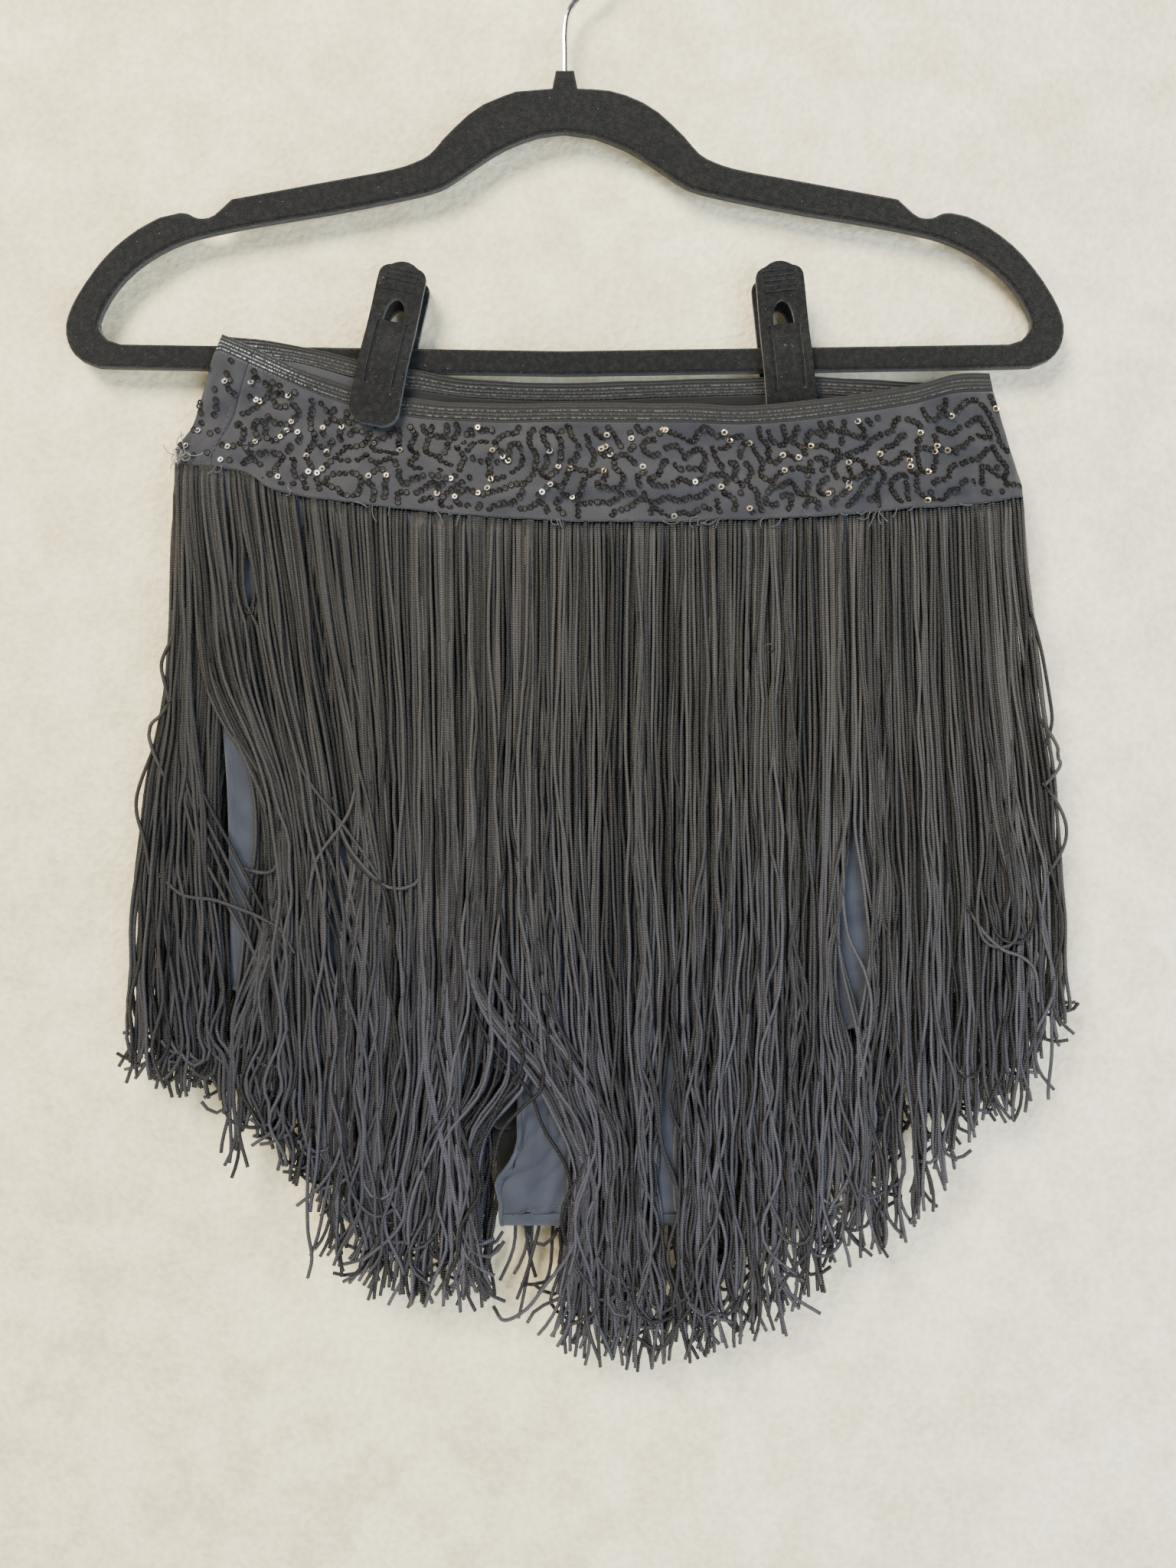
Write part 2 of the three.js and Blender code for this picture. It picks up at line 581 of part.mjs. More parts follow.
// Each clip hangs on the bar by its spring, just clear of the bar's top face.
function clip({ name, x, y, lean, tilt, open }) {
  const barTop = mix(BAR.topMiddle, BAR.topEnd, Math.abs(x) / BAR.endX);
  const lowerEnd = SPRING.length / 2 * Math.sin(degrees(Math.abs(lean)));
  const group = new THREE.Group();
  group.position.set(x, y, barTop + SEAM + SPRING.radius + lowerEnd);
  group.rotation.set(degrees(-tilt), degrees(lean), 0);
  const frontLeaf = mesh(`clip_${name}_front_leaf`, leafGeometry(), MATERIALS.flock);
  frontLeaf.rotation.x = degrees(-open);
  const backLeaf = mesh(`clip_${name}_back_leaf`, leafGeometry(), MATERIALS.flock);
  backLeaf.rotation.x = degrees(-open);
  const turned = new THREE.Group();
  turned.rotation.z = Math.PI;
  turned.add(backLeaf);
  group.add(frontLeaf, turned, mesh(`clip_${name}_spring`, springGeometry(), MATERIALS.spring));
  return group;
}

// ---------------------------------------------------------------- the whole object
const skirt = new THREE.Group();
const gapShare = 1.5 * SEAM / (YOKE_SIDES.at(-1).right - YOKE_SIDES.at(-1).left);
const seamedFront = columnShares(26, SIDE_SEAM_SHARE, 1);
const seamedBack = columnShares(24);
const wrapped = columnShares(4, 0, SIDE_SEAM_SHARE - gapShare);
const aroundBack = [...backCourse(seamedBack), ...frontCourse(wrapped)];
// The fringe's columns continue the yoke's, so that their edges follow each other.
const fringeFront = [...wrapped.slice(0, -1), ...seamedFront];
const bandRows = [0, 0.5, 1];
const yokeRows = [0, 0.17, 0.33, 0.5, 0.67, 0.83, 1];
const longRows = [0, 0.03, 0.065, 0.105, 0.16, 0.25, 0.4, 0.55, 0.7, 0.85, 1]; // the fringe and the brief

skirt.add(mesh('waist_binding_front', tubeWall(band, frontCourse(seamedFront), bandRows), MATERIALS.lurex));
skirt.add(mesh('waist_binding_back', tubeWall(band, aroundBack, bandRows), MATERIALS.lurex));
skirt.add(mesh('yoke_front', tubeWall(yoke, frontCourse(seamedFront), yokeRows), MATERIALS.sequins));
skirt.add(mesh('yoke_back', tubeWall(yoke, aroundBack, yokeRows), MATERIALS.sequins));
skirt.add(mesh('brief_front', tubeWall(brief, frontCourse(briefShares()), longRows), MATERIALS.stretch));
skirt.add(mesh('brief_back', tubeWall(brief, backCourse(briefShares()), longRows), MATERIALS.stretch));
skirt.add(mesh('gusset', gussetGeometry(), MATERIALS.stretch));
skirt.add(mesh('fringe_front', tubeWall(fringe, frontCourse(fringeFront), longRows), MATERIALS.chainette));
skirt.add(mesh('fringe_back', tubeWall(fringe, backCourse(seamedBack), longRows), MATERIALS.chainette));

skirt.add(mesh('hanger', hangerGeometry(), MATERIALS.flock));
skirt.add(mesh('hook', hookGeometry(), MATERIALS.chrome));
CLIPS.forEach((row) => skirt.add(clip(row)));

export default skirt;
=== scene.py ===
"""A chainette fringe skirt with a built-in brief, clipped to a slim flocked hanger."""

import bmesh
import bpy
import numpy as np
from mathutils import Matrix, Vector


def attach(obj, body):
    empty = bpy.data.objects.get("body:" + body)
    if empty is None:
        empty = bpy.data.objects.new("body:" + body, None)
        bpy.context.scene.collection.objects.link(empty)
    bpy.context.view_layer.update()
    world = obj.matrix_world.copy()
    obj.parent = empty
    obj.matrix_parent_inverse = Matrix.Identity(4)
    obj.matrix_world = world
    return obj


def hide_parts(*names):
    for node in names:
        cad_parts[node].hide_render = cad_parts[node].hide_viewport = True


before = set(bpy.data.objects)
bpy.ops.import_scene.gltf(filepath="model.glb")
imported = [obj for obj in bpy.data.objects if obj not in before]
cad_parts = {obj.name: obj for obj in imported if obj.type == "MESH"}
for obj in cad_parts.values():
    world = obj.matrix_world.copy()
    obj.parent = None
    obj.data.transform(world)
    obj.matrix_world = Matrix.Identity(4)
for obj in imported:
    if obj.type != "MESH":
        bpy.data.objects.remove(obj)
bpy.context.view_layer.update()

# ---------------------------------------------------------------- wall, floor, lights and camera
# The hanger hangs in front of a pale plush wall, above a plain floor. Neither is part of the skirt.
# The wall is see-through from behind and lets light through, so that the skirt's back can be seen too.
WALL_Y = 0.0102
FLOOR_Z = -1.25
ROOM = 3.0


def shader(name, **settings):
    """A material, and its Principled shader with these sockets set."""
    made = bpy.data.materials.new(name)
    made.use_nodes = True
    principled = made.node_tree.nodes["Principled BSDF"]
    for socket, value in settings.items():
        principled.inputs[socket.replace("_", " ")].default_value = value
    return made, principled


def feed(node, **sources):
    """Links each source to the socket of that name."""
    for socket, value in sources.items():
        node.id_data.links.new(value, node.inputs[socket.replace("_", " ")])


def source(beside, kind, output=0, **settings):
    """The output of a new node that has no inputs, in the same tree as another node."""
    made = beside.id_data.nodes.new("ShaderNode" + kind)
    for key, value in settings.items():
        setattr(made, key, value)
    return made.outputs[output]


def add(kind, inputs, output=0, **settings):
    """The output of a new node. Each input is a value or, at least once, another node's output."""
    tree = next(value.id_data for value in inputs.values() if isinstance(value, bpy.types.NodeSocket))
    made = tree.nodes.new("ShaderNode" + kind)
    for key, value in settings.items():
        setattr(made, key, value)
    for key, value in inputs.items():
        if isinstance(value, bpy.types.NodeSocket):
            tree.links.new(value, made.inputs[key])
        else:
            made.inputs[key].default_value = value
    return made.outputs[output]


def own_place(principled):
    """Where the point lies on the object, in metres."""
    return source(principled, "TexCoord", "Object")


def number(operation, first, second=0.0):
    return add("Math", {0: first, 1: second}, operation=operation)


def times(first, second):
    return number("MULTIPLY", first, second)


def plus(first, second):
    return number("ADD", first, second)


def axis(place, k):
    return add("SeparateXYZ", {0: place}, k)


def eased_share(value, low, high, start=0.0, end=1.0):
    """The value's share of the way from low to high, eased, as a number from start to end."""
    limits = {"Value": value, "From Min": low, "From Max": high, "To Min": start, "To Max": end}
    return add("MapRange", limits, interpolation_type="SMOOTHSTEP")


def paint(share, *colours):
    """The first colour, or the second where the share is 1."""
    first, second = [(*one, 1) if isinstance(one, tuple) else one for one in colours]
    return add("Mix", {0: share, 6: first, 7: second}, 2, data_type="RGBA")


def grain(place, scale, detail=2.0):
    return add("TexNoise", {"Vector": place, "Scale": scale, "Detail": detail})


def bump(height, depth, strength=1.0):
    return add("Bump", {"Strength": strength, "Distance": depth, "Height": height})


plush, principled = shader("plush_wall", Roughness=0.95)
place = own_place(principled)
pile = grain(place, 320, 3)
shade = times(eased_share(grain(place, 48, 5), 0.32, 0.68), 0.55)
shade = plus(shade, times(eased_share(pile, 0.3, 0.7), 0.45))
# Painted light: the plush is painted warmer at the left and cooler at the right, standing for the warm
# window light and the cool room light on the wall.
across = eased_share(axis(place, 0), -0.22, 0.24)
deep = paint(across, (0.693, 0.594, 0.372), (0.735, 0.636, 0.45))
raised = paint(across, (0.955, 0.858, 0.582), (1.0, 0.925, 0.70))
feed(principled, Base_Color=paint(shade, deep, raised), Normal=bump(pile, 0.002, 0.7))
behind = source(principled, "NewGeometry", "Backfacing")
passes = number("MAXIMUM", behind, source(principled, "LightPath", "Is Shadow Ray"))
seen = add("MixShader", {0: passes, 1: principled.outputs[0], 2: source(principled, "BsdfTransparent")})
feed(plush.node_tree.nodes["Material Output"], Surface=seen)

plain, principled = shader("pale_floor", Roughness=0.9)
mottle = grain(own_place(principled), 9)
feed(principled, Base_Color=paint(mottle, (0.66, 0.64, 0.6), (0.72, 0.7, 0.66)))


def put(name, data):
    """A new object with this data, in the scene."""
    made = bpy.data.objects.new(name, data)
    bpy.context.collection.objects.link(made)
    return made


def flat_ground(name, finish, corners):
    ground = bmesh.new()
    ground.faces.new([ground.verts.new(corner) for corner in corners])
    mesh = bpy.data.meshes.new(name)
    ground.to_mesh(mesh)
    ground.free()
    mesh.materials.append(finish)
    put(name, mesh)


flat_ground("wall", plush, [
    (-ROOM, WALL_Y, FLOOR_Z), (ROOM, WALL_Y, FLOOR_Z), (ROOM, WALL_Y, ROOM), (-ROOM, WALL_Y, ROOM),
])
flat_ground("floor", plain, [
    (-ROOM, -ROOM, FLOOR_Z), (ROOM, -ROOM, FLOOR_Z), (ROOM, WALL_Y, FLOOR_Z), (-ROOM, WALL_Y, FLOOR_Z),
])


def soft_light(name, place, aimed_at, size, watts, colour):
    lamp = bpy.data.lights.new(name, "AREA")
    lamp.size = size
    lamp.energy = watts
    lamp.color = colour
    made = put(name, lamp)
    made.location = place
    made.rotation_euler = (Vector(aimed_at) - Vector(place)).to_track_quat("-Z", "Y").to_euler()


SKIRT_MIDDLE = (0.01, 0, -0.4)
soft_light("window_light", (-0.75, -1.35, 0.7), SKIRT_MIDDLE, 0.8, 86, (1, 0.93, 0.755))
soft_light("room_light", (0.9, -1.4, -0.85), SKIRT_MIDDLE, 1.1, 46, (0.68, 0.83, 1))
soft_light("back_light", (0.3, 1.8, 0.6), SKIRT_MIDDLE, 1.5, 50, (0.95, 0.97, 1))
world = bpy.data.worlds.new("soft_room")
world.use_nodes = True
dim = world.node_tree.nodes["Background"].inputs
dim["Color"].default_value, dim["Strength"].default_value = (0.86, 0.88, 0.92, 1), 0.15
bpy.context.scene.world = world

lens = bpy.data.cameras.new("camera")
lens.lens = 27.42
lens.sensor_width = 36
camera = put("camera", lens)
camera.location = (0.0103, -0.534, -0.3944)
camera.rotation_euler = (np.pi / 2, 0, 0)
bpy.context.scene.camera = camera

# ---------------------------------------------------------------- hanger and clip leaves
# Moulded plastic with black nylon flock blown on, so it is matt and furry. It holds lint, and the
# flock is thin where hands and straps rub it.


def coat(node, finish):
    """A part of the frame keeps its shape and gets its finish."""
    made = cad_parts[node]
    made.data.materials.clear()
    made.data.materials.append(finish)


flock, principled = shader(
    "flocked_plastic", Roughness=0.95, Sheen_Weight=0.32, Sheen_Roughness=0.4,
    Sheen_Tint=(0.8, 0.8, 0.82, 1), Specular_IOR_Level=0.15,
)
place = own_place(principled)
fibre = grain(place, 2600, 2)
worn = eased_share(grain(place, 420, 6), 0.42, 0.66)
lint = eased_share(grain(place, 780, 1), 0.74, 0.8)
dark = paint(eased_share(fibre, 0.3, 0.7), (0.0012, 0.0012, 0.0013), (0.013, 0.013, 0.0135))
rubbed = paint(times(worn, 0.45), dark, (0.023, 0.022, 0.021))
dusty = paint(times(lint, 0.7), rubbed, (0.16, 0.155, 0.15))
feed(principled, Base_Color=dusty, Normal=bump(fibre, 0.0007, 0.9))
coat("hanger", flock)
for side in ("left", "right"):
    coat(f"clip_{side}_front_leaf", flock)
    coat(f"clip_{side}_back_leaf", flock)

# ---------------------------------------------------------------- hook and clip springs
# The hook is 3 mm steel wire, chromed, pushed into the hanger's boss. The springs are plainer steel,
# held in the clips between the two leaves.
chrome, principled = shader("chrome_wire", Metallic=1.0, Roughness=0.14)
haze = grain(own_place(principled), 160, 4)
plated = paint(haze, (0.83, 0.84, 0.86), (0.7, 0.7, 0.71))
feed(principled, Base_Color=plated, Roughness=eased_share(haze, 0.3, 0.75, 0.08, 0.26))
coat("hook", chrome)

steel, principled = shader("spring_steel", Metallic=1.0, Roughness=0.38)
drawn = grain(add("Mapping", {0: own_place(principled), 3: (120, 900, 900)}), 1, 3)
wire = paint(drawn, (0.33, 0.34, 0.35), (0.52, 0.52, 0.53))
feed(principled, Base_Color=wire, Roughness=eased_share(drawn, 0.3, 0.7, 0.28, 0.5),
     Normal=bump(drawn, 0.0001, 0.5))
coat("clip_left_spring", steel)
coat("clip_right_spring", steel)

# ---------------------------------------------------------------- waist bindings
# A black knitted elastic 8 mm wide, with lines of silver lurex along it, sewn to the yoke's top edge.
# The front length is clipped to the hanger, and the back one goes round the left fold to the seam.
MM = 0.001
SEAM = 0.3
FOLD_POWER = 6
SEAM_TURN = np.arccos(1 - 2 * 0.045)  # the left side seam lies on the front
BAND_HEIGHT = 8.3
BAND_THICK = 1.5
LUREX_PITCH = 1.62
WAIST_LINE = [  # across the flat skirt: x, front height, back height
    (-151, -196, -196), (-120, -209.6, -199.3), (-94, -218.5, -205.8), (-66, -223.9, -211),
    (-36, -226.8, -214.6), (8, -228.1, -215), (44, -228.8, -213.6), (80, -228.6, -212.6),
    (112, -225.7, -212.2), (152, -219, -214.6), (172, -213.6, -214.2), (188.3, -212.4, -212.4),
]
BAND_SIDES = [(0, -151, 188.3), (1, -154.3, 190)]  # share of the height: left fold, right fold
DEPTHS = [  # x, then middle plane, front and back reach from it: at the waist, the hip and the hem
    (-195, -5, 3, 3, -5, 6.6, 6.2, -4, 6.6, 6.4),
    (-155, -5, 3, 3, -5, 7, 6.4, -4, 7.2, 6.8),
    (-125, -4.3, 2.6, 2.6, -5, 7.8, 7, -4, 8, 7.2),
    (-99, -3.4, 1.7, 1.7, -5, 8.8, 7.6, -4, 8.6, 7.4),
    (-68, -3.4, 1.7, 1.7, -5, 9.8, 8, -4, 9, 7.6),
    (-36, -4.2, 4.6, 3.2, -5, 10.6, 8.5, -4, 9.2, 7.8),
    (8, -5, 8.4, 5.6, -5, 11, 8.6, -4, 9.4, 7.8),
    (50, -5, 10, 6, -5, 11, 8.6, -4, 9.4, 7.8),
    (84, -5, 6.2, 5.75, -5, 10.6, 8.3, -4, 9.2, 7.6),
    (118, -5, 6.2, 5.75, -5, 10, 8, -4, 8.8, 7.4),
    (152, -4.2, 4.6, 4.4, -4.6, 8.8, 7.6, -4, 8, 7.2),
    (190, -3.5, 3.3, 3.3, -4, 7, 6.4, -4, 7.2, 6.8),
    (225, -3.5, 3.3, 3.3, -4, 6.6, 6.2, -4, 6.6, 6.4),
]
WAIST_ENDS, HIP_AT, HEM_AT = -238, -268, -600
OVER_BAR_PUSH, OVER_BAR_FULL, OVER_BAR_GONE, OVER_BAR_EDGE, OVER_BAR_FADES = -1.7, -212, -223, -48, 40


def smooth(value):
    held = np.clip(value, 0, 1)
    return held * held * (3 - 2 * held)


def mix(first, second, share):
    return first + (second - first) * share


def rows_near(rows, at):
    rows = np.asarray(rows, float)
    held = np.clip(at, rows[0, 0], rows[-1, 0])
    i = np.clip(np.searchsorted(rows[:, 0], held, side="right") - 1, 0, len(rows) - 2)
    return rows, i, (held - rows[i, 0]) / (rows[i + 1, 0] - rows[i, 0])


def eased(rows, column, at):
    rows, i, share = rows_near(rows, at)
    return mix(rows[i, column], rows[i + 1, column], smooth(share))


def straight(rows, column, at):
    rows, i, share = rows_near(rows, at)
    return mix(rows[i, column], rows[i + 1, column], share)


def bridge(t, span, first, second, first_slope, second_slope):
    """The cubic from the first value to the second with these slopes at its ends."""
    return ((2 * t**3 - 3 * t**2 + 1) * first + (t**3 - 2 * t**2 + t) * span * first_slope
            + (3 * t**2 - 2 * t**3) * second + (t**3 - t**2) * span * second_slope)


def curved(rows, column, at):
    """A smooth curve through the rows, each row's slope taken from its neighbours."""
    rows, i, t = rows_near(rows, at)
    x, y = rows[:, 0], rows[:, column]
    before, after = np.maximum(np.arange(len(x)) - 1, 0), np.minimum(np.arange(len(x)) + 1, len(x) - 1)
    slope = (y[after] - y[before]) / (x[after] - x[before])
    return bridge(t, x[i + 1] - x[i], y[i], y[i + 1], slope[i], slope[i + 1])


def level(rows, x, behind):
    """A height across the flat skirt, on its front or behind."""
    return np.where(behind, curved(rows, 2, x), curved(rows, 1, x))


def depth(x, z, which):
    """The middle plane (0) or the front (1) or back (2) reach from it."""
    waist, hip, hem = (eased(DEPTHS, column + which, x) for column in (1, 4, 7))
    opened = mix(waist, hip, smooth((WAIST_ENDS - z) / (WAIST_ENDS - HIP_AT)))
    return mix(opened, hem, np.clip((HIP_AT - z) / (HIP_AT - HEM_AT), 0, 1))


def middle(x, z):
    above = smooth((z - OVER_BAR_GONE) / (OVER_BAR_FULL - OVER_BAR_GONE))
    leftward = smooth((OVER_BAR_EDGE + OVER_BAR_FADES - x) / OVER_BAR_FADES)
    return depth(x, z, 0) + OVER_BAR_PUSH * above * leftward


def reach(x, z, behind):
    return np.where(behind, depth(x, z, 2), depth(x, z, 1))


def stand_out(share):
    """How far the face stands out at a share of the width: nothing at the folded sides."""
    return (1 - np.abs(2 * np.clip(share, 0, 1) - 1)**FOLD_POWER)**(1 / FOLD_POWER)


def waves(seed, count, across, down, x, z):
    """A smooth random field from about -1 to 1, with waves of these lengths across and down."""
    draw = np.random.default_rng(seed)
    turn, start = draw.uniform(0, 2 * np.pi, (2, count))
    total = np.zeros(np.broadcast(x, z).shape)
    for k in range(count):
        total += np.cos(2 * np.pi * (x * np.cos(turn[k]) / across + z * np.sin(turn[k]) / down) + start[k])
    return total / np.sqrt(count)


def around(across, back):
    """Where a point is round the flat tube: its share of the width, and whether it is behind."""
    turn = mix(np.pi, -SEAM_TURN, across) if back else mix(SEAM_TURN, np.pi, across)
    return (1 - np.cos(turn)) / 2, (turn > 0) & back


def tube_face(across, down, back, sides, top, bottom, swell):
    """The outer face of a piece of the flat tube, in millimetres. swell(x, z, down, behind) is added to
    the reach."""
    share, behind = around(across, back)
    x = mix(curved(sides, 1, down), curved(sides, 2, down), share)
    z = mix(top(x, behind), bottom(x, behind), down)
    out = reach(x, z, behind) + swell(x, z, down, behind)
    out = SEAM / 2 + (out - SEAM / 2) * stand_out(share)
    return np.stack([x, middle(x, z) + np.where(behind, out, -out), z], axis=-1)


def cloth_wall(name, face, columns, rows, size):
    """A wall of cloth whose outer face is face(across, down). Its UV map is the flat cloth in metres."""
    grid = bmesh.new()
    bmesh.ops.create_grid(grid, x_segments=columns, y_segments=rows, size=0.5)
    mesh = bpy.data.meshes.new(name)
    grid.to_mesh(mesh)
    grid.free()
    flat = np.empty(len(mesh.vertices) * 3)
    mesh.vertices.foreach_get("co", flat)
    across, down = flat[0::3] + 0.5, 0.5 - flat[1::3]
    mesh.vertices.foreach_set("co", (face(across, down) * MM).ravel())
    corner = np.empty(len(mesh.loops), np.int32)
    mesh.loops.foreach_get("vertex_index", corner)
    laid = np.stack([across[corner] * size[0], (1 - down[corner]) * size[1]], axis=-1)
    mesh.uv_layers.new(name="cloth").data.foreach_set("uv", laid.ravel())
    mesh.shade_smooth()
    mesh.update()
    return mesh


def finished(name, mesh, finish, nodes=(), thick=0):
    """The mesh as a piece of the skirt, standing for these parts of the frame."""
    mesh.materials.append(finish)
    made = put(name, mesh)
    if thick:
        wall = made.modifiers.new("cloth", "SOLIDIFY")
        wall.thickness = thick * MM
        wall.offset = -1
    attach(made, "root")
    if nodes:
        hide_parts(*nodes)
    return made


def flat_cloth(principled):
    """The piece's own flat cloth as a pattern's place, in millimetres along and down it."""
    return add("Mapping", {0: source(principled, "UVMap", uv_map="cloth"), 3: (1 / MM, 1 / MM, 1 / MM)})


lurex, principled = shader("lurex_elastic", Sheen_Weight=0.05, Specular_IOR_Level=0.35)
place = flat_cloth(principled)
line = number("DIVIDE", axis(place, 1), LUREX_PITCH)
ridge = number("COSINE", times(line, 2 * np.pi))
on_line = eased_share(ridge, 0.15, 0.8)
row = times(number("ROUND", line), 13.7)
strong = add("TexWhiteNoise", {"W": row}, "Value", noise_dimensions="1D")
dash = eased_share(grain(add("CombineXYZ", {0: times(axis(place, 0), 1.1), 1: row}), 1.5, 1), 0.46, 0.6)
# Painted highlight: on the front band's left end the lurex is painted brighter and bluish white, and its
# glints stronger, where the window light glints on it. Elsewhere the lurex is a dim silver.
spot = own_place(principled)
lively = times(eased_share(axis(spot, 0), -0.1, -0.135), eased_share(axis(spot, 1), -0.0046, -0.0058))
dash = times(dash, eased_share(strong, 0.25, 0.95, 0.15, 1))
glint = times(times(on_line, dash), eased_share(lively, 0, 1, 0.6, 1))
knit = grain(place, 2.6, 2)
yarn = paint(knit, (0.006, 0.006, 0.0062), (0.022, 0.0215, 0.021))
thread = paint(lively, (0.16, 0.16, 0.16), (0.72, 0.8, 0.92))
ribs = plus(ridge, times(knit, 1.4))
feed(principled, Base_Color=paint(glint, yarn, thread), Metallic=times(glint, 0.7),
     Roughness=eased_share(glint, 0, 1, 0.78, 0.34), Normal=bump(ribs, 0.00035, 0.8))


def band_swell(x, z, down, behind):
    """The band is rounded across, and a little uneven."""
    rounded = np.sqrt(np.clip(1 - (2 * down - 1)**2, 0, 1))
    return 0.5 * (rounded - 1) + 0.12 * waves(3, 9, 34, 20, x, z)


def band_face(back):
    def top(x, behind):
        return level(WAIST_LINE, x, behind) + 0.25 * waves(4, 7, 30, 90, x, 0 * x)

    def bottom(x, behind):
        return level(WAIST_LINE, x, behind) - BAND_HEIGHT

    return lambda across, down: tube_face(across, down, back, BAND_SIDES, top, bottom, band_swell)


SIDES = {"front": False, "back": True}
BAND_LENGTHS = {False: 0.328, True: 0.358}
for side, back in SIDES.items():
    name, length = "waist_band_" + side, BAND_LENGTHS[back]
    mesh = cloth_wall(name, band_face(back), 220, 9, (length, BAND_HEIGHT * MM))
    band = finished(name, mesh, lurex, ["waist_binding_" + side], BAND_THICK)

# ---------------------------------------------------------------- yoke
# Slate stretch cloth, 47 mm deep, drawn into soft level puckers by the chains of sequins on it. The
# front is one piece, and the back goes round the left fold. The lower edge is turned over the fringe.
YOKE_THICK = 1.3
YOKE_LINE = [
    (-171.2, -253.3, -253.3), (-150, -255.4, -256), (-138, -258.5, -259), (-128, -265.2, -261),
    (-100, -271, -265), (-60, -275.7, -268.5), (8, -280.3, -270), (77, -279.4, -268.8),
    (122, -277.1, -268), (151, -274.1, -267.6), (181, -271.5, -267.8), (202.3, -268, -268),
]
YOKE_SIDES = [
    (0, -154.5, 190.2), (0.35, -160, 195), (0.65, -165, 199), (0.85, -171.3, 201.6), (1, -171.2, 202.3),
]
YOKE_CUTS = {False: (0.352, 0.053), True: (0.388, 0.055)}  # metres, front and back
CLIP_SPOTS = (-83, 96)  # where the clips' jaws press the waist
PRESSED_WIDTH, PRESSED_TO = 22, -250  # how far to the sides and how far down they do


def yoke_swell(x, z, down, behind):
    """Level puckers with a few deeper ones, calm under the clips, and a lip at the turned lower edge."""
    bend = 5 * waves(11, 8, 120, 60, x, z)
    pucker = 0.9 * waves(12, 14, 95, 16, x, z + bend) + 0.65 * waves(13, 14, 34, 11, x, z + bend)
    pressed = sum(np.exp(-((x - spot) / PRESSED_WIDTH)**2) for spot in CLIP_SPOTS)
    calm = 1 - pressed * smooth((z - PRESSED_TO) / 12)
    edges = smooth(down / 0.12) * smooth((1 - down) / 0.1)
    lip = 0.7 * smooth((down - 0.93) / 0.05)
    return (pucker * np.clip(calm, 0, 1) - 0.35) * edges + lip - 0.15


def yoke_face(back):
    def top(x, behind):
        return level(WAIST_LINE, x, behind) - BAND_HEIGHT - 0.1

    def bottom(x, behind):
        return level(YOKE_LINE, x, behind) + 0.3 * waves(14, 9, 26, 90, x, 0 * x)

    return lambda across, down: tube_face(across, down, back, YOKE_SIDES, top, bottom, yoke_swell)


KNIT = (0.55, 0.42)  # millimetres from wale to wale, and from course to course


def knit_group():
    """Fine stretch knit: the share of shade over the cloth, and the height of its threads."""
    group = bpy.data.node_groups.new("stretch_knit", "ShaderNodeTree")
    group.interface.new_socket("Place", in_out="INPUT", socket_type="NodeSocketVector")
    group.interface.new_socket("Shade", in_out="OUTPUT", socket_type="NodeSocketFloat")
    group.interface.new_socket("Height", in_out="OUTPUT", socket_type="NodeSocketFloat")
    given = group.nodes.new("NodeGroupInput").outputs[0]
    made = group.nodes.new("NodeGroupOutput")
    wales, courses = (number("SINE", times(axis(given, k), 2 * np.pi / KNIT[k])) for k in (0, 1))
    fuzz, cloudy = grain(given, 1.9, 3), grain(given, 0.055, 3)
    feed(made, Shade=plus(times(fuzz, 0.45), times(cloudy, 0.55)),
         Height=plus(times(times(wales, courses), 0.3), fuzz))
    return group


STRETCH_KNIT = knit_group()
# The near-black of the painted shade inside the garment.
INSIDE_SHADE = (0.004, 0.004, 0.0045)


def stretch_cloth(name, dark, light):
    """The cloth's inside is painted dark as shade: on faces turned forward behind the skirt's middle
    plane.
    """
    made, principled = shader(
        name, Roughness=0.78, Sheen_Weight=0.2, Sheen_Roughness=0.4, Specular_IOR_Level=0.3,
    )
    knit = made.node_tree.nodes.new("ShaderNodeGroup")
    knit.node_tree = STRETCH_KNIT
    feed(knit, Place=flat_cloth(principled))
    set_back = axis(own_place(principled), 1)
    facing = axis(source(principled, "NewGeometry", "Normal"), 1)
    inside = times(eased_share(set_back, -0.0045, -0.0035), eased_share(facing, 0.2, -0.2))
    cloth = paint(eased_share(knit.outputs["Shade"], 0.3, 0.7), dark, light)
    feed(principled, Base_Color=paint(inside, cloth, INSIDE_SHADE),
         Normal=bump(knit.outputs["Height"], 0.0002, 0.6))
    return made


yoke_cloth = stretch_cloth("sequinned_stretch", (0.016, 0.0172, 0.025), (0.0435, 0.0415, 0.0455))
for side, back in SIDES.items():
    name = "yoke_cloth_" + side
    mesh = cloth_wall(name, yoke_face(back), 260, 40, YOKE_CUTS[back])
    finished(name, mesh, yoke_cloth, ["yoke_" + side], YOKE_THICK)

# ---------------------------------------------------------------- sequins
# Cup sequins of black plastic film, 2.7 mm across, chain-stitched to the yoke in winding lines. Most
# are black, and some catch the light silver or brown.
SEQUIN_RADIUS = 1.42
SEQUIN_PITCH, NEAREST = 2.6, 0.86  # from one to the next, and the share of it that must stay free
CHAIN_GAP = 6.2
SEQUIN_PROFILE = [(0.5, 0.02), (0.95, 0.03), (SEQUIN_RADIUS, 0.26), (0.6, -0.14)]  # radius, height
FLASHING = 0.94  # the share of sequins, by tone, that don't catch the light
LEFT_GLEAM = 0.085  # more of them do at the left end
TO_THE_LIGHT = np.array((-0.214, -0.925, 0.314))
SEWN_ABOVE = 0.34  # how far the sequin's middle lies above the cloth
KEPT_ON_FOLD = 0.55  # the share of the back's sequins that are kept where it lies on the front
FIELD_WAVES, CHAIN_TRIES, CHAIN_STEPS = 26, 1900, (4, 22)
BEGINS_IN, STAYS_IN = (2.2, 2.4, 3.2), (1.9, 2, 2.6)  # a chain's margins: sides, upper and lower edge


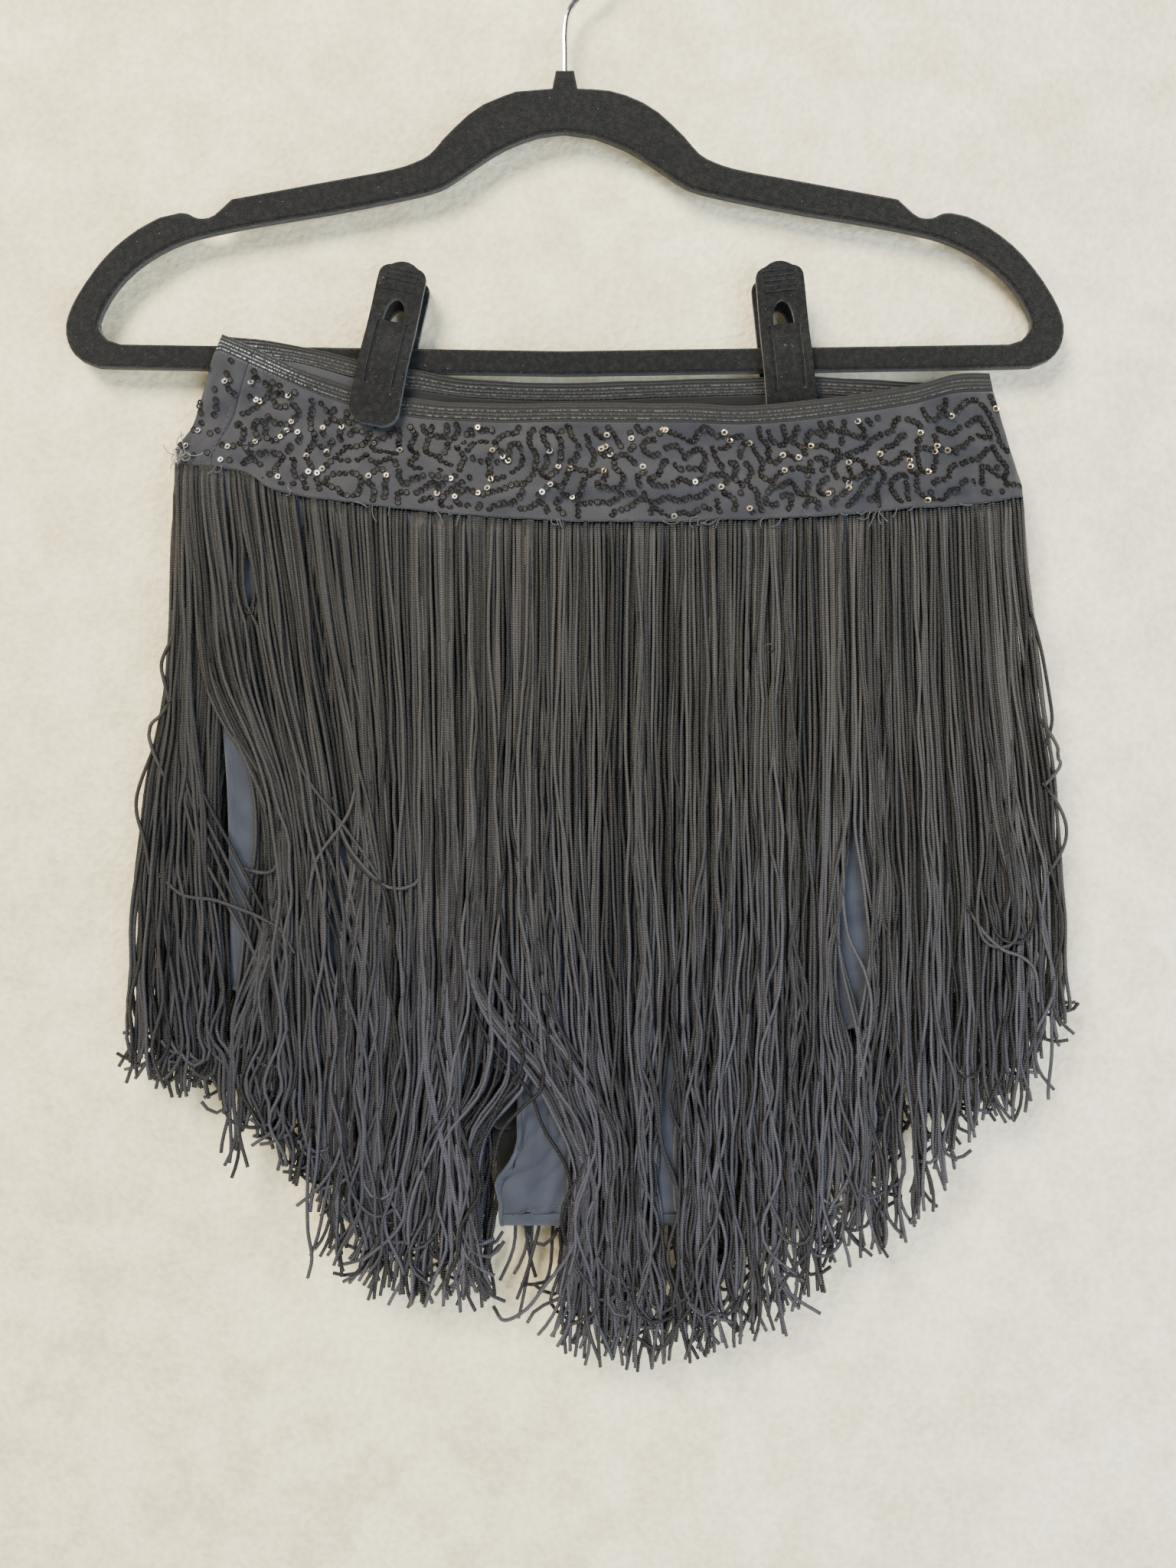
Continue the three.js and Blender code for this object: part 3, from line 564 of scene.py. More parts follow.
def sequin_shape():
    """One sequin: its points, its faces and each point's share of the way out to the rim."""
    cup = bmesh.new()
    ring = [cup.verts.new((radius, 0, height)) for radius, height in SEQUIN_PROFILE]
    edges = [cup.edges.new((ring[i], ring[(i + 1) % len(ring)])) for i in range(len(ring))]
    bmesh.ops.spin(cup, geom=ring + edges, cent=(0, 0, 0), axis=(0, 0, 1), angle=2 * np.pi,
                   steps=10, use_merge=True)
    bmesh.ops.recalc_face_normals(cup, faces=cup.faces)
    cup.verts.index_update()
    points = np.array([vert.co for vert in cup.verts])
    faces = np.array([[vert.index for vert in face.verts] for face in cup.faces])
    cup.free()
    return points, faces, np.hypot(points[:, 0], points[:, 1]) / SEQUIN_RADIUS


def sequin_chains(width, height, seed):
    """Places on the flat yoke, along the lines where a field of even waves is level."""
    draw = np.random.default_rng(seed)
    turn, start = draw.uniform(0, 2 * np.pi, (2, FIELD_WAVES))
    length = CHAIN_GAP * draw.uniform(0.75, 1.6, FIELD_WAVES)
    waves_x, waves_z = np.cos(turn) * np.pi / length, np.sin(turn) * np.pi / length

    def on_line(spot):
        for _ in range(4):
            phase = waves_x * spot[0] + waves_z * spot[1] + start
            slope = -np.array([(waves_x * np.sin(phase)).sum(), (waves_z * np.sin(phase)).sum()])
            steep = max(slope @ slope, 1e-3)
            spot = spot - slope * np.clip(np.cos(phase).sum() / steep, -2, 2)
        return spot, np.array([-slope[1], slope[0]]) / np.sqrt(steep)

    placed = np.zeros((0, 2))
    for _ in range(CHAIN_TRIES):
        side, upper, lower = BEGINS_IN
        first, heading = on_line(draw.uniform((side, upper), (width - side, height - lower)))
        side, upper, lower = STAYS_IN
        for way in (1, -1):
            spot, ahead, last = first, heading * way, len(placed)
            for _ in range(draw.integers(*CHAIN_STEPS)):
                inside = side < spot[0] < width - side and upper < spot[1] < height - lower
                others = placed[:max(len(placed) - 1, last)]
                near = np.hypot(*(others - spot).T) < SEQUIN_PITCH * NEAREST
                if not inside or near.any():
                    break
                placed = np.vstack([placed, spot])
                spot, tangent = on_line(spot + ahead * SEQUIN_PITCH * draw.uniform(0.94, 1.1))
                ahead = tangent * np.sign(tangent @ ahead or 1)
    return placed + draw.normal(0, 0.16, placed.shape)


def unit(vectors):
    return vectors / (np.linalg.norm(vectors, axis=-1, keepdims=True) + 1e-9)


def evenly_around(run, back):
    """The share of the turn round the flat tube, for a share of the flat cloth's length."""
    on_front = (1 - np.cos(SEAM_TURN)) / 2
    if not back:
        return (np.arccos(1 - 2 * mix(on_front, 1, run)) - SEAM_TURN) / (np.pi - SEAM_TURN)
    share = 1 - run * (1 + on_front)
    turn = np.arccos(1 - 2 * np.abs(share)) * np.sign(share)
    return (np.pi - turn) / (np.pi + SEAM_TURN)


def sew_on(name, face, back, cut, seed):
    """All the sequins of one side as a mesh, each lying on the cloth with its own small tilt."""
    draw = np.random.default_rng(seed)
    width, height = cut[0] / MM, cut[1] / MM
    spots = sequin_chains(width, height, seed)
    across = evenly_around(spots[:, 0] / width, back)
    kept = (around(across, back)[1] == back) | (draw.random(len(spots)) < KEPT_ON_FOLD)
    spots, across = spots[kept], across[kept]
    down = spots[:, 1] / height
    here = face(across, down)
    along = face(np.clip(across + 0.002, 0, 1), down) - face(np.clip(across - 0.002, 0, 1), down)
    upward = face(across, down - 0.02) - face(across, down + 0.02)
    out = unit(np.cross(along, upward))
    tone = draw.uniform(0, 1, (len(spots), 1)) + LEFT_GLEAM * smooth((-90 - here[:, :1]) / 20)
    gleaming = 0.3 * out + TO_THE_LIGHT + draw.normal(0, 0.06, out.shape)
    turned = np.where(tone > FLASHING, gleaming, out)
    tilted = unit(turned + draw.normal(0, 0.16, out.shape) * (tone < FLASHING))
    first = unit(np.cross(tilted, (0.3, 0.2, 1)))
    second = np.cross(tilted, first)
    points, faces, share = sequin_shape()
    local = points[None] * draw.uniform(0.94, 1.04, (len(spots), 1, 1))
    placed = (here + out * SEWN_ABOVE)[:, None] + sum(
        local[..., k:k + 1] * way[:, None] for k, way in enumerate((first, second, tilted)))
    all_faces = (faces[None] + (np.arange(len(spots)) * len(points))[:, None, None]).reshape(-1, 4)
    mesh = bpy.data.meshes.new(name)
    mesh.from_pydata((placed * MM).reshape(-1, 3), [], all_faces)
    laid = np.stack([np.repeat(tone, faces.size), np.tile(share[faces.ravel()], len(spots))], axis=-1)
    mesh.uv_layers.new(name="tone").data.foreach_set("uv", laid.ravel())
    return mesh


film, principled = shader("sequin_film", Specular_IOR_Level=0.16)
laid = source(principled, "UVMap", uv_map="tone")
bright, outward = eased_share(axis(laid, 0), FLASHING, FLASHING + 0.03), axis(laid, 1)
place = own_place(principled)
brown = eased_share(plus(times(axis(place, 0), 0.5), grain(place, 260, 1)), 0.45, 0.49)
scuff = grain(place, 900, 2)
black = paint(scuff, (0.003, 0.0026, 0.0026), (0.010, 0.0085, 0.008))
# Painted highlight: each black sequin's rim is painted lighter.
black = paint(eased_share(outward, 0.92, 1.0, 0, 0.4), black, (0.06, 0.053, 0.05))
# Painted reflection: the sequins that flash, black film like the rest, are painted as a bright white or
# gold metallic ring round a dark centre, as the window light catches them.
flash = paint(brown, (1, 1, 1), (1, 0.78, 0.48))
flash = paint(eased_share(outward, 0.68, 0.56), flash, (0.05, 0.045, 0.045))
dull = paint(bright, (0.45, 0.45, 0.45), (0.28, 0.28, 0.28))
feed(principled, Base_Color=paint(bright, black, flash), Metallic=times(bright, 0.9),
     Roughness=plus(dull, eased_share(scuff, 0.3, 0.7, -0.06, 0.06)))
for side, back in SIDES.items():
    mesh = sew_on("sequins_" + side, yoke_face(back), back, YOKE_CUTS[back], 21 + back)
    finished("sequins_" + side, mesh, film)

# ---------------------------------------------------------------- brief and gusset
# A brief of smooth slate stretch cloth hangs inside, sewn in under the yoke: a front and a back panel
# with turned leg edges, joined under the crotch by a gusset. It lies a little inside the fringe.
BRIEF_THICK = 1.2
FRINGE_AT_SEAM, FRINGE_THICK, FRINGE_FILLS_IN = 1.5, 3.6, 40
BRIEF_CLEARANCE = 0.6
BRIEF_MIDDLE = 14
BRIEF_SIDES = [
    (0, -168.6, 199.5), (0.25, -160, 188.5), (0.55, -150.5, 178), (0.8, -148.5, 176.5), (1, -148, 176),
]
LEG_LINE = [  # distance out from the crotch's middle, front height, back height
    (0, -583.3, -548), (14, -583.3, -548), (27.5, -583.3, -548), (29, -550, -548), (34, -528, -548),
    (40, -521, -547), (46, -517.5, -536), (60, -513, -524), (80, -508, -514), (105, -503, -506),
    (130, -497, -499), (150, -489, -490), (162, -484, -484),
]
LEG_OUT = LEG_LINE[-1][0]
CROTCH_OUT = 28.5
CROTCH_FLARE = [  # height, and how much further out the left and the right leg edge lie there
    (-584, 1.474, 1.28), (-577, 1.53, 1.26), (-570, 1.56, 1.24), (-563, 1.354, 1.22), (-556, 1.214, 1.21),
    (-547, 1.14, 1.2), (-532, 1.02, 1.05), (-525, 1, 1),
]
GUSSET_HALVES = [(42, 41, 45.6), (36.5, 40.5, 45.6)]  # left and right: at the front, the fold and the back
GUSSET_SEAM, GUSSET_FOLD_Z, GUSSET_TOP = -583.6, -585.2, -548.3
BRIEF_CUTS = {False: (0.368, 0.33), True: (0.368, 0.295)}  # metres, front and back
GUSSET_CUT, GUSSET_AREA = (0.091, 0.058), 0.0048
COLUMNS, WIDE_COLUMNS = 4, 16  # from one point of the leg line to the next, and where they lie far apart
CROTCH_WIDTH, WIDE_GAP = 0.17, 0.03  # shares of the brief's width
FOLD_POINTS, RISE_POINTS = 13, 6  # down the gusset, round its fold and up the back
LOW, LOWEST = -470, -522  # where the slanting drag folds begin, and where the creases by the legs do
CREASE = 2.0


def brief_reach(x, z, behind):
    below = level(YOKE_LINE, x, behind) - z
    fringe = mix(FRINGE_AT_SEAM, FRINGE_THICK, smooth(below / FRINGE_FILLS_IN))
    return reach(x, z, behind) - fringe - BRIEF_CLEARANCE


def crotch_flare(side_of, z):
    return np.where(side_of < BRIEF_MIDDLE, curved(CROTCH_FLARE, 1, z), curved(CROTCH_FLARE, 2, z))


def drag_folds(x, z):
    """Soft folds that the weight of the crotch draws down: slanting above, and beside the leg edges."""
    low = smooth((LOW - z) / 70)
    lowest = smooth((LOWEST - z) / 14)
    slanted = waves(31, 10, 60, 60, x, z) * 0.8 + (x + BRIEF_MIDDLE) * 0.09 + z * 0.13
    soft = 0.25 * waves(32, 12, 55, 110, x, z)
    from_edge = np.abs(x - BRIEF_MIDDLE) - CROTCH_OUT * crotch_flare(x, z)
    across = np.sin(from_edge * 0.24 + 0.13 * z + 0.65 * waves(34, 8, 30, 45, x, z))
    crease = np.exp(-(across / 0.5)**2 - (from_edge / 32)**2) * smooth((26 - x) / 22)
    return soft + low * (0.1 * np.sin(slanted * 0.8) * (1 - lowest) - 0.3) - CREASE * lowest * crease


def brief_at(share, down, back):
    """The brief's outer face, by the share of its width and of its height."""
    left, right = curved(BRIEF_SIDES, 1, down), curved(BRIEF_SIDES, 2, down)
    edge = mix(left, right, share)
    top = level(YOKE_LINE, edge, back) - SEAM
    z = mix(top, straight(LEG_LINE, 2 if back else 1, np.abs(share - 0.5) * 2 * LEG_OUT), down)
    x = BRIEF_MIDDLE + (edge - BRIEF_MIDDLE) * crotch_flare(edge, z)
    out = brief_reach(x, z, back) + drag_folds(x, z) * stand_out(share)
    out = SEAM / 2 + (out - SEAM / 2) * stand_out(share)
    return np.stack([x, middle(x, z) + (out if back else -out), z], axis=-1)


def brief_face(back):
    """The panel's face and how many columns it needs, with one at each point of the leg line."""
    outs = np.array([row[0] for row in LEG_LINE]) / LEG_OUT / 2
    folds = np.array([0, 0.002, 0.006, 0.012])
    knots = np.unique(np.round(np.concatenate([folds, 1 - folds, 0.5 - outs[:-1], 0.5 + outs[:-1]]), 6))
    spread = [[1]]
    for a, b in zip(knots[-2::-1], knots[:0:-1]):
        wide = abs(a + b - 1) < CROTCH_WIDTH and b - a > WIDE_GAP
        spread.append(np.linspace(a, b, WIDE_COLUMNS if wide else COLUMNS, endpoint=False))
    spread = np.concatenate(spread[::-1])
    steps = np.linspace(0, 1, len(spread))

    def face(across, down):
        return brief_at(np.interp(1 - across if back else across, steps, spread), down, back)

    return face, len(spread) - 1


def gusset_line():
    """Down from the front panel, round the fold and up the back: depth, height and both half widths."""
    x, seam = np.array(BRIEF_MIDDLE), np.array(GUSSET_SEAM)
    front = middle(x, seam) - brief_reach(x, seam, False)
    back = middle(x, seam) + brief_reach(x, seam, True)
    turn = np.linspace(np.pi, 2 * np.pi, FOLD_POINTS)
    fold_y = (front + back) / 2 + np.cos(turn) * (back - front) / 2
    fold_z = GUSSET_FOLD_Z + np.sin(turn) * (back - front) / 2
    up = np.linspace(1 / RISE_POINTS, 1, RISE_POINTS)
    rise_z = mix(GUSSET_FOLD_Z, GUSSET_TOP, up)
    rise_y = middle(x, rise_z) + brief_reach(x, rise_z, True)
    halves = []
    for at_front, at_fold, at_back in GUSSET_HALVES:
        round_fold = np.linspace(at_front, at_fold, FOLD_POINTS)
        halves.append(np.concatenate([[at_front], round_fold, mix(at_fold, at_back, up)]))
    line_y = np.concatenate([[front], fold_y, rise_y])
    return line_y, np.concatenate([[GUSSET_SEAM], fold_z, rise_z]), *halves


def gusset_face(across, down):
    line_y, line_z, lefts, rights = gusset_line()
    steps = np.linspace(0, 1, len(line_y))
    x = BRIEF_MIDDLE + mix(-np.interp(down, steps, lefts), np.interp(down, steps, rights), across)
    y, z = np.interp(down, steps, line_y), np.interp(down, steps, line_z)
    sag = 0.25 * waves(33, 8, 30, 30, across * 80, down * 60)
    return np.stack([x, y, z + sag * np.sin(np.pi * down)], axis=-1)


brief_cloth = stretch_cloth("stretch_cloth", (0.0225, 0.0262, 0.040), (0.0435, 0.0485, 0.069))
for side, back in SIDES.items():
    name = "brief_panel_" + side
    face, columns = brief_face(back)
    mesh = cloth_wall(name, face, columns, 90 if back else 170, BRIEF_CUTS[back])
    finished(name, mesh, brief_cloth, ["brief_" + side], BRIEF_THICK)
mesh = cloth_wall("gusset_cloth", gusset_face, 24, 38, GUSSET_CUT)
gusset = finished("gusset_cloth", mesh, brief_cloth, ["gusset"], BRIEF_THICK)

# ---------------------------------------------------------------- fringe cords
# Chainette: a knitted rayon cord 1.7 mm thick, two cords deep, sewn in under the yoke's lower edge all
# round. It hangs straight at first, parts over the brief, and ends in curled cut ends on a chevron.
CORD_RADIUS = 0.86
CORD_PITCH = 1.78
CORD_SIDES = 5
CORD_STEPS = 46
STITCH = 1.05
FRINGE_LINE = [
    (-194.5, -529, -522), (-150, -539, -548), (-110, -580, -578), (-72, -626, -606), (-15, -630, -636),
    (8, -650, -641), (36, -655, -641), (64, -648, -632), (90, -640, -615), (118, -608, -592),
    (145, -600, -574), (172, -566, -556), (195, -546, -536), (223, -500, -505),
]
LEFT_EDGE = [(-529, -194.5), (-474, -192.5), (-405, -190.5), (-377, -184), (-325, -175), (-253, -171.2)]
RIGHT_EDGE = [(-500, 223), (-454, 225), (-396, 221), (-372, 216.5), (-328, 209.7), (-268, 202.3)]
LEFT_FOLD = (-171, -172, -175, -184.5, -190, -192.4, -193.5, -194)
RIGHT_FOLD = (202.3, 205, 210.5, 217.5, 221.5, 222.4, 222.4, 222)
RIGHT_OF_GUSSET = (30, 30, 30, 30, 30, 30.5, 31, 32, 33)
RIGHT_LEG = (130, 130.3, 131, 131.5, 132)
LEAN_LEVELS = [-255, -300, -350, -400, -450, -500, -525, -545, -575, -610, -660]
LEAN_OUTER = [  # a cord's root, then where it hangs at the lower levels, and straight down from the last
    LEFT_FOLD,
    (-163.1, -163, -165, -158, -152, -146, -144, -143, -142, -141, -140),
    (-162.9, -161, -157, -132, -129, -134, -135, -136, -137, -138),
    (-145, -139, -130, -119, -114, -112, -112, -112, -112, -113),
    (-129, -123, -116, -107, -102, -99, -98.5, -98),
    (-108, -102.5, -95, -88, -86, -85, -85.5, -86, -87, -89, -90),
    (-90, -87, -83, -80, -78, -78, -79, -80, -82, -83, -84),
    (-60, -60, -59, -58.5, -58.5, -59, -61, -64, -70, -75, -76),
    (-30, -30, -30, -30, -31, -34, -38, -48, -52, -54, -55),
    (-22.1, -22.1, -22, -22, -20, -18, -19, -35, -40, -41, -42),
    (-21.9, -21.9, -21.9, -21.9, -20, -15, -10.5, 1.5, 3, 1, -2),
    (-5, -5, -5, -5, -4, 0, 6, 13, 14, 13, 12),
    (10, 10, 10, 10, 10.5, 12, 15, 19, 20),
    RIGHT_OF_GUSSET,
    (90,),
    RIGHT_LEG,
    (160, 161, 163, 166, 168, 169, 169.3, 169.5, 169.5, 169.5, 169),
    (185, 186.5, 190, 195, 199, 200),
    RIGHT_FOLD,
]
LEAN_INNER = [
    LEFT_FOLD,
    (-152.1, -152, -151.8, -151, -147.5, -147.5, -148),
    (-151.9, -151.2, -150, -137, -139.5, -147, -148),
    (-110, -110, -110, -108, -107, -106, -105.5, -105, -104.5, -104),
    (-60, -60, -60, -60, -60, -60, -61, -64, -70, -75, -76),
    (-30, -30, -30, -30, -31, -33, -36, -48, -52, -54, -55),
    (-16.1, -16.1, -16, -16, -16, -16, -15, -37, -41, -43, -44),
    (-15.9, -15.9, -15.9, -15.9, -15.9, -15, -9, 3, 3, 1, -1),
    (5, 5, 5, 5, 5, 7, 10, 14, 15),
    RIGHT_OF_GUSSET,
    RIGHT_LEG,
    (185, 187, 192, 197, 200),
    RIGHT_FOLD,
]
LEAN_BACK = [
    LEFT_FOLD,
    (-100, -101, -102, -103, -104),
    (14,),
    (130, 131, 133, 135, 137, 138),
    RIGHT_FOLD,
]
# Partings: x and height of the top, x and height of the bottom, half width, and the layers that part.
ALL = "outer inner stray back far"
PARTINGS = [
    (-146, -378, -143, -444, 2.2, "outer inner"),
    (-130, -452, -130, -482, 3.2, "outer inner"),
    (-97, -412, -97, -490, 7.6, "outer inner"),
    (125.4, -412, 127.4, -512, 8.2, "outer inner stray"),
    (47, -500, 46, -598, 6.2, "outer inner stray"),
    (-1, -438, -1, -520, 2.4, "outer"),
    (90, -297, 90, -356, 1.9, "outer"),
    (-138, -290, -138, -320, 2.6, "outer inner"),
    (190, -424, 190, -450, 2.6, "outer"),
    (-146, -488, -147, -512, 4.6, ALL),
    (-128, -508, -128, -534, 3.4, ALL),
    (-23, -566, -24, -640, 5.6, "back far"),
    (-9, -566, -8, -640, 5.4, "back far"),
    (5, -566, 6, -630, 4.6, "back far"),
    (45, -588, 48, -612, 3, "outer inner back far"),
]
PUSH = 15  # how far beside a parting the cords are pressed together
LOCKS = 80  # groups of cords that cling together towards their ends
LOCK_WIDTHS, LOCKS_BEGIN = (4, 13), -185
LOCK_CLINGS = (-470, -590)  # the heights where they begin to cling, and where they cling most
LOCK_PULL, LOCK_LIMIT = 0.45, 5
END_LEVEL = -560  # where a cord hangs at this height, its end is looked up on the chevron
FALLS_OVER = 330  # the height over which a cord grows livelier
TRIMMED_WELL = 0.85  # the share of cords that end a little above the chevron
LOOSE_SIDE, DRAWN_IN = 1.5, 0.75  # how far outside the sides a cord may hang, and how much is drawn in
SWINGS = [(150, 0.3, 1.3), (66, 0.1, 1.1), (37, 0.0, 0.7)]  # a wave's length, its swing above and below
CURLED, HOOKED = 0.25, 0.12  # the shares of cords with a curled and with a hooked end
LATE_FROM, TAIL_FROM = 0.62, 0.88  # the shares of the length where wriggles and where curls begin


def lean(table, roots, z):
    """Where cords from these roots hang at the heights z, by the table's rows."""
    levels = np.array(LEAN_LEVELS, float)
    rows = np.array([row + row[-1:] * (len(levels) - len(row)) for row in table])
    at_levels = np.stack([np.interp(roots, rows[:, 0], rows[:, k]) for k in range(len(levels))], axis=1)
    slope = np.gradient(at_levels, levels, axis=1)
    i = np.clip(np.searchsorted(-levels, -z, side="right") - 1, 0, len(levels) - 2)
    t = np.clip((z - levels[i]) / (levels[i + 1] - levels[i]), 0, 1)
    row, span = np.arange(len(roots))[:, None], levels[i + 1] - levels[i]
    return bridge(t, span, at_levels[row, i], at_levels[row, i + 1], slope[row, i], slope[row, i + 1])


def part(x, z, layer):
    """The cords pushed aside by the partings of their layer, each to the side where most of it hangs."""
    for top_x, top, bottom_x, bottom, half, layers in PARTINGS:
        if layer not in layers.split():
            continue
        down = np.clip((top - z) / (top - bottom), 0, 1)
        opened = half * np.sin(np.pi * down**1.5)**0.8
        off = x - mix(top_x, bottom_x, down)
        side = np.sign((off * (opened > 0.01)).sum(axis=1, keepdims=True))
        pressed = side * (opened + np.maximum(off * side, 0) * (PUSH - opened) / PUSH)
        x = np.where((np.abs(off) < PUSH) & (opened > 0.01), x + pressed - off, x)
    return x


def fringe_sides(z):
    return np.interp(z, *np.array(LEFT_EDGE).T), np.interp(z, *np.array(RIGHT_EDGE).T)


def on_face(x, z, behind, inward):
    """The depth of a cord whose middle lies this far inside the fringe's outer face."""
    left, right = fringe_sides(z)
    share = (x - left) / (right - left)
    out = (reach(x, z, behind) - inward) * np.maximum(stand_out(share), 0.12)
    return middle(x, z) + np.where(behind, out, -out)


def curl_ends(x, z, draw):
    """The cords with wriggles towards their ends, and some of the ends curled or hooked."""
    each = (len(x), 1)
    heading = np.arctan2(np.diff(x, axis=1), -np.diff(z, axis=1))
    step = np.linspace(0, 1, CORD_STEPS + 1)[1:]
    late, tail = (smooth((step - begin) / (1 - begin)) for begin in (LATE_FROM, TAIL_FROM))
    curl = draw.normal(0, 0.26, each)
    curl = curl + (draw.random(each) < CURLED) * draw.normal(0, 0.9, each)
    hook = (draw.random(each) < HOOKED) * draw.choice([-2.4, 2.4], each)
    wriggle = np.sin(2 * np.pi * z[:, 1:] / draw.uniform(28, 60, each) + draw.uniform(0, 6.3, each))
    wriggle = wriggle * 0.11 * late * draw.uniform(0.2, 1.5, each)
    heading = heading + wriggle + curl * tail + hook * tail**2
    run = np.hypot(np.diff(x, axis=1), np.diff(z, axis=1))
    x[:, 1:] = x[:, :1] + np.cumsum(np.sin(heading) * run, axis=1)
    z[:, 1:] = z[:, :1] - np.cumsum(np.cos(heading) * run, axis=1)
    return x, z


def hang(roots, table, layer, behind, inward, seed, wild=1.0):
    """The points down each cord, in millimetres."""
    draw = np.random.default_rng(seed)
    count = len(roots)

    def each(low, high):
        return draw.uniform(low, high, (count, 1))

    step = np.linspace(0, 1, CORD_STEPS + 1)
    down = (1.35 * step - 0.35 * step**2)[None]
    top = level(YOKE_LINE, roots, behind) + 1.2
    end_x = lean(table, roots, np.full((count, 1), float(END_LEVEL)))[:, 0]
    bounds = np.cumsum(draw.uniform(*LOCK_WIDTHS, LOCKS)) + LOCKS_BEGIN
    lock = np.clip(np.searchsorted(bounds, roots), 1, LOCKS - 1)
    trimmed = draw.random(count) < TRIMMED_WELL
    trim = np.where(trimmed, draw.uniform(2, 13, count), draw.uniform(-2, 4, count))
    trim = trim + np.abs(draw.normal(0, 4, LOCKS))[lock]
    bottom = straight(FRINGE_LINE, 2 if behind else 1, end_x) + trim
    z = top[:, None] + (bottom - top)[:, None] * down
    hung = lean(table, roots, z)
    clinging = smooth((LOCK_CLINGS[0] - z) / (LOCK_CLINGS[0] - LOCK_CLINGS[1]))
    together = lean(table, (bounds[lock] + bounds[lock - 1]) / 2, z) - hung
    together = np.clip(together, -LOCK_LIMIT, LOCK_LIMIT) * LOCK_PULL
    together = together + draw.normal(0, 1.6, LOCKS)[lock][:, None]
    x = part(hung + together * clinging, z, layer)
    fallen = np.clip((LEAN_LEVELS[0] - z) / FALLS_OVER, 0, 1)
    for k, across, down_it, much in ((1, 11, 210, 1), (2, 27, 170, 0.7)):
        clump = much * waves(seed + k, 12, across, down_it, roots[:, None], z)
        x = x + clump * mix(0.42, 1.0, fallen) * wild
    for length, calm, lively in SWINGS:
        swing = np.sin(2 * np.pi * z / (length * each(0.75, 1.3)) + each(0, 2 * np.pi))
        x = x + swing * mix(calm, lively, fallen**1.6) * each(0.3, 1.3) * wild
    left, right = fringe_sides(z)
    x = x - DRAWN_IN * (np.minimum(x - left + LOOSE_SIDE, 0) + np.maximum(x - right - LOOSE_SIDE, 0))
    x, z = curl_ends(x, z, draw)
    ripple = np.sin(2 * np.pi * z / each(50, 120) + each(0, 6.3))
    inward = inward + (draw.normal(0, 0.42, (count, 1)) + ripple * 0.35) * smooth(down / 0.04)
    tuck = 1.1 * (1 - smooth(down / 0.02))
    return np.stack([x, on_face(x, z, behind, inward + tuck), z], axis=-1)


def spaced_roots(first, last, crowd, seed):
    """Where cords are sewn in along the seam. They crowd together near the left fold by that share."""
    draw = np.random.default_rng(seed)
    fine = np.linspace(first, last, 2000)
    dense = 1 + crowd * np.exp(-((fine + 166) / 9)**2)
    sewn = np.cumsum(dense)
    sewn = (sewn - sewn[0]) / (sewn[-1] - sewn[0])
    count = int(dense.mean() * (last - first) / CORD_PITCH)
    places = (np.arange(count) + 0.5 + draw.uniform(-0.24, 0.24, count)) / count
    return np.interp(places, sewn, fine)


def sewn_in(first, last, crowd, table, layer, inward, seed, wild=1.0):
    """One layer of cords along this stretch of the seam."""
    roots = spaced_roots(first, last, crowd, seed)
    return hang(roots, table, layer, table is LEAN_BACK, inward, seed + 1, wild)


def cord_mesh(name, points, radius=CORD_RADIUS, sides=CORD_SIDES, laid="cord", wrap=1):
    """All these cords as one mesh of closed tubes. Its UV map is the cord's number plus the share of the
    way round it times wrap, and the metres along it."""
    points = np.asarray(points, float)
    count, length = points.shape[:2]
    ahead = unit(np.gradient(points, axis=1))
    first = unit(np.cross(ahead, (0.02, 1, 0.03)))
    second = np.cross(ahead, first)
    turn = 2 * np.pi * np.arange(sides) / sides
    rings = points[:, :, None] + radius * (
        np.cos(turn)[:, None] * first[:, :, None] + 0.9 * np.sin(turn)[:, None] * second[:, :, None])
    i, j, k = np.meshgrid(np.arange(count), np.arange(length - 1), np.arange(sides), indexing="ij")
    at = (i * length + j) * sides
    quads = np.stack([at + k, at + (k + 1) % sides, at + sides + (k + 1) % sides, at + sides + k], axis=-1)
    starts = np.arange(count)[:, None] * length * sides
    last = starts + (length - 1) * sides
    caps = np.concatenate([starts + np.arange(sides)[::-1], last + np.arange(sides)])
    run = np.cumsum(np.linalg.norm(np.diff(points, axis=1, prepend=points[:, :1]), axis=2), axis=1) * MM
    u = np.stack([i + k / sides, i + (k + 1) / sides, i + (k + 1) / sides, i + k / sides], axis=-1) * wrap
    v = np.stack([run[i, j], run[i, j], run[i, j + 1], run[i, j + 1]], axis=-1)
    cap_u = np.repeat(np.tile(np.arange(count), 2) + 0.5, sides)
    cap_v = np.repeat(np.concatenate([run[:, 0], run[:, -1]]), sides)
    mesh = bpy.data.meshes.new(name)
    mesh.from_pydata((rings * MM).reshape(-1, 3), [], quads.reshape(-1, 4).tolist() + caps.tolist())
    spread = np.concatenate([np.stack([u.ravel(), v.ravel()], axis=-1), np.stack([cap_u, cap_v], axis=-1)])
    mesh.uv_layers.new(name=laid).data.foreach_set("uv", spread.ravel())
    mesh.shade_smooth()
    return mesh


# The near-black of the painted shade on the cords.
CORD_SHADE = (0.003, 0.003, 0.0033)
chainette, principled = shader("chainette", Roughness=0.4, Specular_IOR_Level=0.46, Sheen_Weight=0.03)
laid = source(principled, "UVMap", uv_map="cord")
around_it, along = axis(laid, 0), axis(laid, 1)
chance = add("TexWhiteNoise", {"W": number("FLOOR", around_it)}, "Value", noise_dimensions="1D")
beside = number("PINGPONG", times(around_it, 4.0), 1.0)
braid = plus(times(along, 1 / (STITCH * MM)), times(beside, 0.45))
loops = number("SINE", times(braid, 2 * np.pi))
place = own_place(principled)
